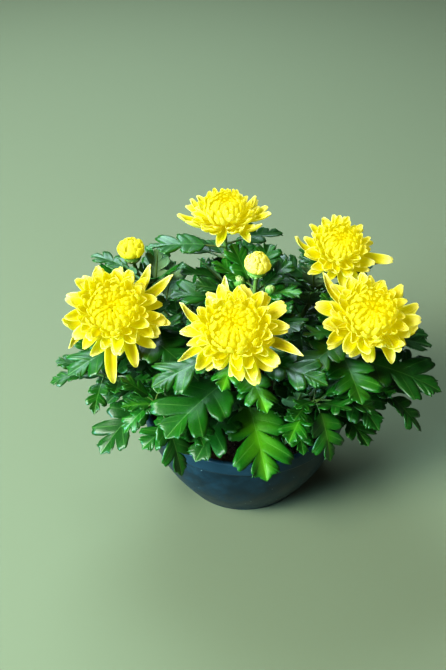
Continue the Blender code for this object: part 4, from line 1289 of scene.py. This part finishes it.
def leaf_tissue():
    finish, add, shader = new_finish("leaf_blade_green")
    tint, underside = (
        add("ShaderNodeAttribute", attribute_name=label).outputs["Fac"] for label in ("tint", "underside")
    )
    greens = add("ShaderNodeValToRGB", (tint,))
    stops = greens.color_ramp.elements
    stops[0].color = linear("#041c01")
    stops[1].color = linear("#68b40a")
    stops.new(0.5).color = linear("#0d5c02")
    place = add("ShaderNodeTexCoord").outputs["Object"]
    clouds = add("ShaderNodeTexNoise", {"Vector": place, "Scale": BLOTCHES_PER_METRE, "Detail": 3.0})
    blotches = add("ShaderNodeMapRange", (clouds, 0.35, 0.7, 0.0, 0.4))
    mottled = add("ShaderNodeMix", (blotches, greens, linear("#0f5c03")))
    measures = add("ShaderNodeAttribute", attribute_name="vein_mm").outputs["Vector"]
    from_midrib, from_vein, _ = add("ShaderNodeSeparateXYZ", (measures,)).outputs
    midrib = add("ShaderNodeMapRange", (from_midrib, 0.15, 0.60, 1.0, 0.0))
    side_vein = add("ShaderNodeMapRange", (from_vein, 0.08, 0.38, 0.8, 0.0))
    vein = add("ShaderNodeMath", (midrib, side_vein), operation="MAXIMUM")
    cells = {"Vector": place, "Scale": NET_CELLS_PER_METRE}
    net = add("ShaderNodeTexVoronoi", cells, feature="DISTANCE_TO_EDGE")
    fine = add("ShaderNodeMapRange", (net, 0.0, 0.16, 0.16, 0.0))
    lines = add("ShaderNodeMath", (vein, fine), operation="MAXIMUM")
    pale = add("ShaderNodeMath", (lines, 0.24), operation="MULTIPLY")
    veined = add("ShaderNodeMix", (pale, mottled, linear("#7fb055")))
    below = add("ShaderNodeMath", (underside, 0.6), operation="MULTIPLY")
    grain = add("ShaderNodeTexNoise", {"Vector": place, "Scale": GRAINS_PER_METRE, "Detail": 1.0})
    cushions = add("ShaderNodeMapRange", (net, 0.0, 0.35))
    raised = add("ShaderNodeMath", (cushions, grain), operation="ADD")
    halved = add("ShaderNodeMath", (raised, 0.5), operation="MULTIPLY")
    height = add("ShaderNodeMath", (vein, -0.6, halved), operation="MULTIPLY_ADD")
    plug(shader, {
        "Base Color": add("ShaderNodeMix", (below, veined, linear("#7d9c6e"))),
        "Roughness": add("ShaderNodeMapRange", (underside, 0.0, 1.0, 0.40, 0.72)),
        "Specular IOR Level": 0.50,
        "Normal": add("ShaderNodeBump", {"Height": height, "Strength": 0.30, "Distance": 0.00016}),
        "Subsurface Weight": 0.08,
        "Subsurface Radius": (0.4, 1.0, 0.2),
        "Subsurface Scale": 0.001,
    })
    return finish


leaf_blade = leaf_tissue()

# %% [markdown]
# ## Leaf blades
#
# Each blade is bent along its own arch, so one rigid copy wouldn't do. A grid is laid over it
# instead: its rows run up the midrib and its lanes run out along the veins. There is a row at every
# lobe and every cleft, and four to a tooth between them. All the blades of a stem are one mesh,
# which a Solidify modifier gives its thickness.

# %% Blades
LEAF_LANES = 6
YOUNG_LANES = 4
TEETH = 10
YOUNG_TEETH = 6
ROWS_PER_TOOTH = 4
SHORT_LEAF = 0.042
FULL_LENGTH = 0.05
NEAREST_ROWS = 0.008
EDGE_DROOP = 0.09
LOBE_TILT = 0.0034
LOBE_REACH = 0.11
VEIN_START, VEIN_FADE = 0.3, 6
# A leaf brighter than this gets darker from its midrib to its edge.
BRIGHT = 0.5
BRIGHT_RIB, BRIGHT_FALL = 1.1, 0.5


def blade_stations(teeth):
    """Rows at every lobe and cleft, and four to a tooth where those aren't too near."""
    stations = [along for along, _ in LEAF_EDGE]
    for along in (i / (ROWS_PER_TOOTH * teeth) for i in range(ROWS_PER_TOOTH * teeth)):
        if all(abs(along - station) > NEAREST_ROWS for station in stations):
            stations.append(along)
    return sorted(stations)


def blade_row(at, length, width, along, teeth):
    """What is the same all along a row of a blade: its spot on the midrib, half-width, twist and distance in
    millimetres from the nearest side vein."""
    blade_length = length * (1 - STALK_SHARE)
    half = max(blade_length * edge_spread(along, teeth) * width, STALK_HALF_WIDTH if along < 0.5 else 0)
    beside = min(abs(along - lobe) for lobe in LOBES) * blade_length * math.sin(vein_angle(along)) / MM
    return at(STALK_SHARE + (1 - STALK_SHARE) * along), half, wave_at(along, length), beside


def lobe_tilt(along, tilts):
    """How far the edge rises or sinks, because no two lobes lie quite alike."""
    return sum(tilt * math.exp(-((along - lobe) / LOBE_REACH) ** 2) for tilt, lobe in zip(tilts, LOBES))


def add_blade(bm, vein_mm, tint, leaf, draw):
    base, tip, arch, width, youth = leaf
    at = spine(base, tip, arch)
    length = (tip - base).length
    teeth, lanes = (YOUNG_TEETH, YOUNG_LANES) if length < SHORT_LEAF else (TEETH, LEAF_LANES)
    stations = blade_stations(teeth)
    rows = [blade_row(at, length, width, along, teeth) for along in stations]
    last = len(stations) - 1
    size = min(1.0, length / FULL_LENGTH)
    tilts = {hand: [LOBE_TILT * size * draw.uniform(-1, 1) for _ in LOBES] for hand in (-1, 1)}
    tip_points = []
    for vert in bmesh.ops.create_grid(bm, x_segments=2 * lanes, y_segments=last, size=1)["verts"]:
        share = abs(vert.co.x)
        hand = -1 if vert.co.x < 0 else 1
        number = round((vert.co.y + 1) / 2 * last)
        along = stations[number]
        spot, half, wave, beside = rows[number]
        out = share * half
        near_rib = math.exp(-(out / MM / QUILT_REACH_MM) ** 2)
        near_vein = math.exp(-(beside / QUILT_REACH_MM) ** 2)
        quilt = QUILT_HEIGHT * size * (1 - near_rib) * (1 - near_vein) * (1 - share ** 6)
        rise = quilt - EDGE_DROOP * half * share ** 3 + lobe_tilt(along, tilts[hand]) * share ** 2
        vert.co = spot[0] + lean_of(spot, hand, vein_angle(along), wave) * out + spot[3] * rise
        vert[vein_mm] = (out / MM, beside + VEIN_FADE * max(0, VEIN_START - share) ** 2, along)
        vert[tint] = youth * (BRIGHT_RIB - BRIGHT_FALL * share) if youth > BRIGHT else youth
        if number == last:
            tip_points.append(vert)
    bmesh.ops.pointmerge(bm, verts=tip_points, merge_co=tip)


def make_blades(name, leaves):
    bm = bmesh.new()
    vein_mm = bm.verts.layers.float_vector.new("vein_mm")
    tint = bm.verts.layers.float.new("tint")
    draw = random.Random(SEED + len(leaves))
    for leaf in leaves:
        add_blade(bm, vein_mm, tint, leaf, draw)
    label = "leaves_" + name
    piece = new_object(label, thickened(label, mesh_of("blades", bm), LEAF_WALL))
    piece.data.materials.append(leaf_blade)
    return put_in_place(piece, "leaves", "stem_" + name)


blades = [make_blades(name, leaves) for name, leaves in leaf_places.items()]
print("faces in all leaf blades:", sum(len(piece.data.polygons) for piece in blades))

# %% [markdown]
# ## Stems, leaf stalks and midribs
#
# All that is round and green grows from a skeleton: lines of points that carry how thick the tissue
# is there. The tree turns each line into a curve and sweeps a ribbed star along it, because a
# chrysanthemum stem has shallow ribs. A leaf's stalk goes on under its blade as the midrib and
# thins out towards the tip.

# %% Stem tissue and tree
STREAKS_PER_METRE = 260.0


def stem_tissue():
    finish, add, shader = new_finish("stem_green")
    place = add("ShaderNodeTexCoord").outputs["Object"]
    streaks = add("ShaderNodeTexNoise", {"Vector": place, "Scale": STREAKS_PER_METRE, "Detail": 4.0})
    tint = add("ShaderNodeAttribute", attribute_name="tint").outputs["Fac"]
    green = add("ShaderNodeMix", (tint, linear("#4a6a2a"), linear("#6b9140")))
    woody = add("ShaderNodeMapRange", (streaks, 0.4, 0.7, 0.0, 0.5))
    plug(shader, {
        "Base Color": add("ShaderNodeMix", (woody, green, linear("#5c4a2c"))),
        "Roughness": 0.5,
        "Specular IOR Level": 0.4,
        "Normal": add("ShaderNodeBump", {"Height": streaks, "Strength": 0.4, "Distance": 0.0002}),
    })
    return finish


def make_stem_tree():
    tree, add, start = new_geometry_tree("stems_on_lines", Finish="Material", Ribs="Int", Groove="Float")
    _, _, ribs, groove, *_ = start.outputs
    star = {"Points": ribs, "Inner Radius": groove, "Outer Radius": 1.0}
    tube = add("GeometryNodeCurveToMesh", {
        "Curve": add("GeometryNodeMeshToCurve", (start,)),
        "Profile Curve": add("GeometryNodeCurveStar", star),
        "Scale": add("GeometryNodeInputNamedAttribute", {"Name": "thickness"}, data_type="FLOAT"),
        "Fill Caps": True,
    })
    end_geometry_tree(add, start, add("GeometryNodeSetShadeSmooth", (tube,)))
    return tree


stem_skin = stem_tissue()
stem_tree = make_stem_tree()

# %% Stem pieces
STEM_POINTS = 24
RIB_POINTS = 12
RIB_RADII = (0.00085, 0.00028)
RIB_END = 0.93
RIB_SINK = 0.0004
LEAST_RIB, RIB_GROWTH = 0.4, 0.08
BUD_STALK_RADIUS = 0.0011
BUD_STALK_POINTS = 7
BUD_STALK_BEND = 0.002
SHOOT_TAPER = (0.85, 0.6, 0.3)
RIBS_OF_STEM = {"Finish": stem_skin, "Ribs": 5, "Groove": 0.88}


def stem_line(name):
    foot = STEMS[name][0]
    points = [Vector((foot[0] * MM, foot[1] * MM, SOIL_TOP - STEM_DEPTH))]
    points += [stem_course(name, i / STEM_POINTS) for i in range(STEM_POINTS + 1)]
    fade = (STEM_RADII[1] - STEM_RADII[0]) / STEM_POINTS
    radii = [STEM_RADII[0]] + [STEM_RADII[0] + fade * i for i in range(STEM_POINTS + 1)]
    if name in SHOOTS:
        radii[-3:] = [radius * share for radius, share in zip(radii[-3:], SHOOT_TAPER)]
    return points, radii


def rib_line(leaf):
    """The stalk of a leaf and its midrib, which runs just under the blade."""
    base, tip, arch = leaf[:3]
    at = spine(base, tip, arch)
    size = min(1.0, LEAST_RIB + (tip - base).length / RIB_GROWTH)
    points, radii = [], []
    for i in range(RIB_POINTS + 1):
        share = RIB_END * i / RIB_POINTS
        centre, _, _, over = at(share)
        points.append(centre - over * RIB_SINK * min(1, share / STALK_SHARE))
        radii.append(size * (RIB_RADII[0] + (RIB_RADII[1] - RIB_RADII[0]) * share))
    return points, radii


def green_bud_line(place, share):
    start = stem_point("centre_bud", share)
    end = Vector(place) * MM
    across = (end - start).cross(UP)
    middle = (start + end) / 2 + across.cross(end - start).normalized() * BUD_STALK_BEND
    shares = (i / (BUD_STALK_POINTS - 1) for i in range(BUD_STALK_POINTS))
    return [bend(start, middle, end, share) for share in shares], [BUD_STALK_RADIUS] * BUD_STALK_POINTS


def skeleton(lines):
    """A mesh of separate lines, each a pair of points and radii, with the radii as an attribute."""
    points, edges, radii, tints = [], [], [], []
    for line, thickness in lines:
        first = len(points)
        points += line
        radii += thickness
        edges += [(first + i, first + i + 1) for i in range(len(line) - 1)]
        tints += [i / (len(line) - 1) for i in range(len(line))]
    mesh = bpy.data.meshes.new("skeleton")
    mesh.from_pydata(points, edges, [])
    store(mesh, "thickness", "FLOAT", radii)
    store(mesh, "tint", "FLOAT", tints)
    return mesh


for name, leaves in leaf_places.items():
    lines = [stem_line(name)] + [rib_line(leaf) for leaf in leaves]
    if name == "centre_bud":
        lines += [green_bud_line(place, share) for place, _, share in GREEN_BUDS]
    stem = put_in_place(grown("stem_and_ribs_" + name, skeleton(lines), stem_tree, RIBS_OF_STEM), "leaves")
print("stem pieces:", len(leaf_places), "the last with", len(stem.data.polygons), "faces")

# %% [markdown]
# ## Green cups and closed buds
#
# Under every flower sits a cup of overlapping green bracts. It is a small turned dome with two
# rings of bracts set on it by the petal tree. A closed bud is the same idea on a ball.

# %% Bracts
CUP_PROFILE = (
    (0.0, -0.03), (0.60, -0.03), (0.90, -0.06), (0.98, -0.20), (0.86, -0.44), (0.60, -0.66), (0.30, -0.80),
    (0.0, -0.84),
)
CUP_STEPS = 24
CUP_RINGS = (
    (11, (0.42, -0.74), (1.06, -0.14), 0.52, "bract"),
    (9, (0.26, -0.80), (0.92, -0.42), 0.50, "bract"),
)
BALL_RINGS = (
    (8, (0.30, -0.84), (0.42, 0.78), 0.86, "closing"),
    (5, (0.24, -0.84), (0.12, 0.96), 0.92, "closing"),
)
BALL_SHARE = 0.88
BALL_STEPS = 20
BALL_ARCS = 10
MERGE_WITHIN = 0.00001
HAIRS_PER_METRE = 900.0


def bract_tissue():
    finish, add, shader = new_finish("bract_green")
    _, along, _ = add("ShaderNodeSeparateXYZ", (add("ShaderNodeUVMap", uv_map="strap"),)).outputs
    tint = add("ShaderNodeAttribute", attribute_name="tint").outputs["Fac"]
    tone = add("ShaderNodeMix", (tint, linear("#5f8f35"), linear("#86a850")))
    by_tip = add("ShaderNodeMapRange", (along, 0.7, 1.0, 0.0, 0.6))
    place = add("ShaderNodeTexCoord").outputs["Object"]
    down = add("ShaderNodeTexNoise", {"Vector": place, "Scale": HAIRS_PER_METRE, "Detail": 3.0})
    plug(shader, {
        "Base Color": add("ShaderNodeMix", (by_tip, tone, linear("#c3cf8c"))),
        "Roughness": 0.5,
        "Specular IOR Level": 0.4,
        "Normal": add("ShaderNodeBump", {"Height": down, "Strength": 0.4, "Distance": 0.00015}),
    })
    return finish


bract_skin = bract_tissue()


def turned_mesh(name, profile, steps):
    """A solid of revolution. Its profile runs from the axis on top down its outer side to the axis below."""
    mesh = bpy.data.meshes.new(name)
    edges = [(i, i + 1) for i in range(len(profile) - 1)]
    mesh.from_pydata([(radius, 0, height) for radius, height in profile], edges, [])
    outline = new_object(name, mesh)
    screw = outline.modifiers.new("turn", "SCREW")
    screw.steps = screw.render_steps = steps
    screw.use_merge_vertices = True
    screw.merge_threshold = MERGE_WITHIN
    return plain_mesh(outline)


def joined(name, first, second):
    """Two meshes as one object."""
    bm = bmesh.new()
    bm.from_mesh(first)
    bm.from_mesh(second)
    mesh = mesh_of(name, bm)
    for material in first.materials:
        mesh.materials.append(material)
    return new_object(name, mesh)


def bract_piece(name, place, radius, rings, core, draw):
    """Bracts round a small solid core."""
    bracts = []
    for ring in rings:
        bracts += ring_of(place, radius, ring, draw)
    core.transform(place)
    core.shade_smooth()
    husk = plain_mesh(set_petals(name + "_bracts", bracts, bract_skin))
    return put_in_place(joined(name, husk, core), "leaves")


def make_cup(name, place, radius, draw):
    dome = turned_mesh("dome", [(radius * r, radius * h) for r, h in CUP_PROFILE], CUP_STEPS)
    return bract_piece("cup_" + name, place, radius, CUP_RINGS, dome, draw)


def make_green_bud(number, place, radius, draw):
    radius *= MM
    size = BALL_SHARE * radius
    angles = [math.pi * i / BALL_ARCS for i in range(BALL_ARCS + 1)]
    ball = [(size * math.sin(a), size * math.cos(a)) for a in angles]
    ball[0], ball[-1] = (0, ball[0][1]), (0, ball[-1][1])
    middle = Matrix.Translation(Vector(place) * MM)
    return bract_piece(
        f"green_bud_{number}", middle, radius, BALL_RINGS, turned_mesh("ball", ball, BALL_STEPS), draw
    )


bract_draw = random.Random(SEED + 3)
for name in BLOOMS:
    make_cup(name, bloom_frame(name), BLOOM_CUP_RADIUS, bract_draw)
for name in OPENING_BUDS:
    make_cup(name + "_bud", bud_frame(name), BUD_CUP_RADIUS, bract_draw)
for number, (place, radius, _) in enumerate(GREEN_BUDS):
    make_green_bud(number + 1, place, radius, bract_draw)
print("cups:", len(BLOOMS) + len(OPENING_BUDS), "closed buds:", len(GREEN_BUDS))

# %% [markdown]
# ## Pot
#
# The pot is injection-moulded polypropylene, dark navy and satin. Its outline is turned, with a
# rounded lip and a band that stands a little proud and is painted a shade paler, a painted
# highlight along the rim. Satin plastic shows a soft, broad reflection that is broken by fine
# dust and a few pale specks of splashed soil, a millimetre across.

# %% Bowl pot
BAND_HEIGHT = 0.010
BAND_STEP = 0.0016
BASE_RADIUS = 0.046
SIDE_BULGE = 0.005
WALL = 0.0022
POT_FLOOR = 0.003
POT_STEPS = 128
LIP_ROUND = 0.0012
BAND_ROUND = 0.0008
FOOT_ROUND = 0.0014
FOOT_INSET = 0.0006
INNER_STEPS, SIDE_STEPS = 20, 24
UNDER_BAND = POT_HEIGHT - BAND_HEIGHT
SPECKS_PER_METRE = 190.0
DUST_PER_METRE = 70.0
SPLASHES_PER_METRE = 40.0
POT_GRAINS_PER_METRE = 900.0
BAND_BLUR = 0.0004


def side_radius(height):
    rise = min(height / UNDER_BAND, 1.0)
    straight = BASE_RADIUS + (RIM_RADIUS - BAND_STEP - BASE_RADIUS) * rise
    return straight + SIDE_BULGE * math.sin(math.pi * rise)


def rounded(corner, radius, start, turn, steps=5):
    """Points of a rounded corner: part of a circle about a point, in degrees."""
    angles = [math.radians(start + turn * i / steps) for i in range(steps + 1)]
    return [(corner[0] + radius * math.cos(a), corner[1] + radius * math.sin(a)) for a in angles]


def pot_profile():
    inner_heights = [POT_FLOOR + (POT_HEIGHT - POT_FLOOR) * i / INNER_STEPS for i in range(INNER_STEPS)]
    inner = [(side_radius(h) - WALL, h) for h in inner_heights]
    lip = POT_HEIGHT - LIP_ROUND
    lip_in = rounded((RIM_RADIUS - BAND_STEP - WALL + LIP_ROUND, lip), LIP_ROUND, 180, -90)
    lip_out = rounded((RIM_RADIUS - LIP_ROUND, lip), LIP_ROUND, 90, -90)
    band_edge = rounded((RIM_RADIUS - BAND_ROUND, UNDER_BAND + BAND_ROUND), BAND_ROUND, 0, -90)
    side_heights = [UNDER_BAND * i / SIDE_STEPS for i in range(SIDE_STEPS, 0, -1)]
    side = [(side_radius(h), h) for h in side_heights]
    foot = rounded((BASE_RADIUS - FOOT_INSET, FOOT_ROUND), FOOT_ROUND, 0, -90)
    return [(0, POT_FLOOR)] + inner + lip_in + lip_out + band_edge + side + foot + [(0, 0)]


def pot_plastic():
    finish, add, shader = new_finish("moulded_polypropylene_navy")
    place = add("ShaderNodeTexCoord").outputs["Object"]
    film = {"Vector": place, "Scale": DUST_PER_METRE, "Detail": 6.0, "Roughness": 0.7}
    dust = add("ShaderNodeTexNoise", film)
    dustiness = add("ShaderNodeMapRange", (dust, 0.40, 0.8, 0.0, 0.45))
    dusty = add("ShaderNodeMix", (dustiness, linear("#0c222a"), linear("#2c5260")))
    _, _, height = add("ShaderNodeSeparateXYZ", (place,)).outputs
    # Painted highlight: the band and everything above its lower edge are painted a shade paler.
    band_painted_highlight = add("ShaderNodeMapRange", (height, UNDER_BAND - BAND_BLUR, UNDER_BAND + BAND_BLUR, 0.0, 0.30))
    with_band_highlight = add("ShaderNodeMix", (band_painted_highlight, dusty, linear("#2c4f5c")))
    dots = add("ShaderNodeTexVoronoi", {"Vector": place, "Scale": SPECKS_PER_METRE, "Randomness": 1.0})
    speck = add("ShaderNodeMapRange", (dots, 0.08, 0.13, 1.0, 0.0))
    patches = add("ShaderNodeTexNoise", {"Vector": place, "Scale": SPLASHES_PER_METRE})
    splashed = add("ShaderNodeMapRange", (patches, 0.54, 0.60))
    few = add("ShaderNodeMath", (speck, splashed), operation="MULTIPLY")
    specks = add("ShaderNodeMath", (few, 0.7), operation="MULTIPLY")
    grain = add("ShaderNodeTexNoise", {"Vector": place, "Scale": POT_GRAINS_PER_METRE, "Detail": 2.0})
    plug(shader, {
        "Base Color": add("ShaderNodeMix", (specks, with_band_highlight, linear("#9fb0ad"))),
        "Roughness": add("ShaderNodeMapRange", (dust, 0.3, 0.8, 0.30, 0.52)),
        "Specular IOR Level": 0.18,
        "Normal": add("ShaderNodeBump", {"Height": grain, "Strength": 0.15, "Distance": 0.0001}),
    })
    return finish


pot_mesh = turned_mesh("bowl_pot", pot_profile(), POT_STEPS)
pot_mesh.shade_smooth()
pot_mesh.materials.append(pot_plastic())
bowl_pot = put_in_place(new_object("bowl_pot", pot_mesh), "pot_plastic", "pot")
print("pot faces:", len(bowl_pot.data.polygons))

# %% [markdown]
# ## Soil
#
# Potting soil is peat: a crumbly brown mass with loose crumbs from 1 to 4 mm on top. The body is
# turned and its top is roughened by noise. A Geometry Nodes tree then scatters crumbs over every
# face that looks up.

# %% Peat
SOIL_SIDE_GAP = 0.00075
SOIL_RINGS = 30
SOIL_STEPS = 96
SOIL_WALL_STEPS = 12
# The soil's edge lies this far below its top, and its surface is rough from half of that upwards.
SOIL_EDGE_DROP = 0.001
ROUGH_FROM = 0.0005
SOIL_GRAINS_PER_METRE = 420.0
LOOKING_UP = 0.6
CRUMB_FORMS = 4
CRUMB_LUMPS = 0.55
LUMPS_PER_CRUMB = 1.3
NOISE_SHIFT = 40
# The heights of the soil's lumps and grains, and how many of them there are to a metre.
SOIL_LUMPS, SOIL_GRAINS = (0.0011, 130), (0.0005, 420)
CRUMBS_PER_SQUARE_METRE = 42000.0
CRUMB_SIZES = (0.0007, 0.0021)


def peat_tissue():
    finish, add, shader = new_finish("peat_potting_soil")
    place = add("ShaderNodeTexCoord").outputs["Object"]
    sockets = {"Vector": place, "Scale": SOIL_GRAINS_PER_METRE, "Detail": 6.0, "Roughness": 0.7}
    grain = add("ShaderNodeTexNoise", sockets)
    dry = add("ShaderNodeMapRange", (grain, 0.35, 0.7))
    plug(shader, {
        "Base Color": add("ShaderNodeMix", (dry, linear("#1b120b"), linear("#4a3524"))),
        "Roughness": 0.95,
        "Specular IOR Level": 0.2,
        "Normal": add("ShaderNodeBump", {"Height": grain, "Strength": 0.8, "Distance": 0.0006}),
    })
    return finish


def soil_mesh():
    top_radius = side_radius(SOIL_TOP) - WALL - SOIL_SIDE_GAP
    bottom = POT_FLOOR + GAP
    top = [
        (top_radius * i / SOIL_RINGS, SOIL_TOP + SOIL_CROWN * (1 - (i / SOIL_RINGS) ** 2))
        for i in range(SOIL_RINGS)
    ]
    edge = SOIL_TOP - SOIL_EDGE_DROP
    wall_heights = [edge + (bottom - edge) * i / SOIL_WALL_STEPS for i in range(SOIL_WALL_STEPS + 1)]
    wall = [(side_radius(h) - WALL - SOIL_SIDE_GAP, h) for h in wall_heights]
    mesh = turned_mesh("soil_body", top + wall + [(0, bottom)], SOIL_STEPS)
    for vert in mesh.vertices:
        if vert.co.z > SOIL_TOP - ROUGH_FROM:
            bumps = [height * noise.noise(vert.co * number) for height, number in (SOIL_LUMPS, SOIL_GRAINS)]
            vert.co.z += sum(bumps)
    return mesh


def crumb_forms(draw):
    made = new_collection("crumb_forms")
    for i in range(CRUMB_FORMS):
        bm = bmesh.new()
        bmesh.ops.create_icosphere(bm, subdivisions=2, radius=1)
        shift = Vector((draw.random(), draw.random(), draw.random())) * NOISE_SHIFT
        for vert in bm.verts:
            vert.co *= 1 + CRUMB_LUMPS * noise.noise(vert.co * LUMPS_PER_CRUMB + shift)
        made.objects.link(bpy.data.objects.new(f"crumb_{i}", mesh_of(f"crumb_{i}", bm)))
    return made


def make_crumb_tree():
    tree, add, start = new_geometry_tree(
        "crumbs_on_soil", Crumbs="Collection", Finish="Material", Density="Float", Smallest="Float",
        Largest="Float", Seed="Int",
    )
    _, shapes, _, density, smallest, largest, seed, *_ = start.outputs
    _, _, up = add("ShaderNodeSeparateXYZ", (add("GeometryNodeInputNormal"),)).outputs
    looks_up = add("FunctionNodeCompare", (up, LOOKING_UP), operation="GREATER_THAN")
    full_turns = {1: (math.tau, math.tau, math.tau), "Seed": seed}
    sizes = {2: smallest, 3: largest, "Seed": seed}
    where = {"Mesh": start, "Selection": looks_up, "Density": density, "Seed": seed}
    crumbs = add("GeometryNodeInstanceOnPoints", {
        "Points": add("GeometryNodeDistributePointsOnFaces", where),
        "Instance": add("GeometryNodeCollectionInfo", {"Collection": shapes, **EACH_FORM}),
        "Pick Instance": True,
        "Rotation": add("FunctionNodeRandomValue", full_turns, data_type="FLOAT_VECTOR"),
        "Scale": add("FunctionNodeRandomValue", sizes, data_type="FLOAT"),
    })
    both = add("GeometryNodeJoinGeometry", (crumbs,))
    end_geometry_tree(add, start, plug(both, (start,)))
    return tree


crumbs = crumb_forms(random.Random(SEED + 4))
soil = grown("peat_soil", soil_mesh(), make_crumb_tree(), {
    "Crumbs": crumbs, "Finish": peat_tissue(), "Density": CRUMBS_PER_SQUARE_METRE,
    "Smallest": CRUMB_SIZES[0], "Largest": CRUMB_SIZES[1], "Seed": SEED,
})
put_in_place(soil, "soil", "soil")
print("soil faces:", len(soil.data.polygons))

# %% [markdown]
# ## Finish
#
# The forms that petals, bracts and crumbs were copied from aren't part of the plant, so they are
# removed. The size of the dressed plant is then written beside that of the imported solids, to be
# compared.

# %% Tidy away and measure
for collection in (forms, crumbs):
    for thing in list(collection.objects):
        bpy.data.objects.remove(thing)
    bpy.data.collections.remove(collection)
visual_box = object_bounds()
sizes = {"cad": [list(corner) for corner in cad_box], "visual": [list(corner) for corner in visual_box]}
for label, (low, high) in sizes.items():
    print(label, "size in mm:", [round(1000 * (b - a), 1) for a, b in zip(low, high)])
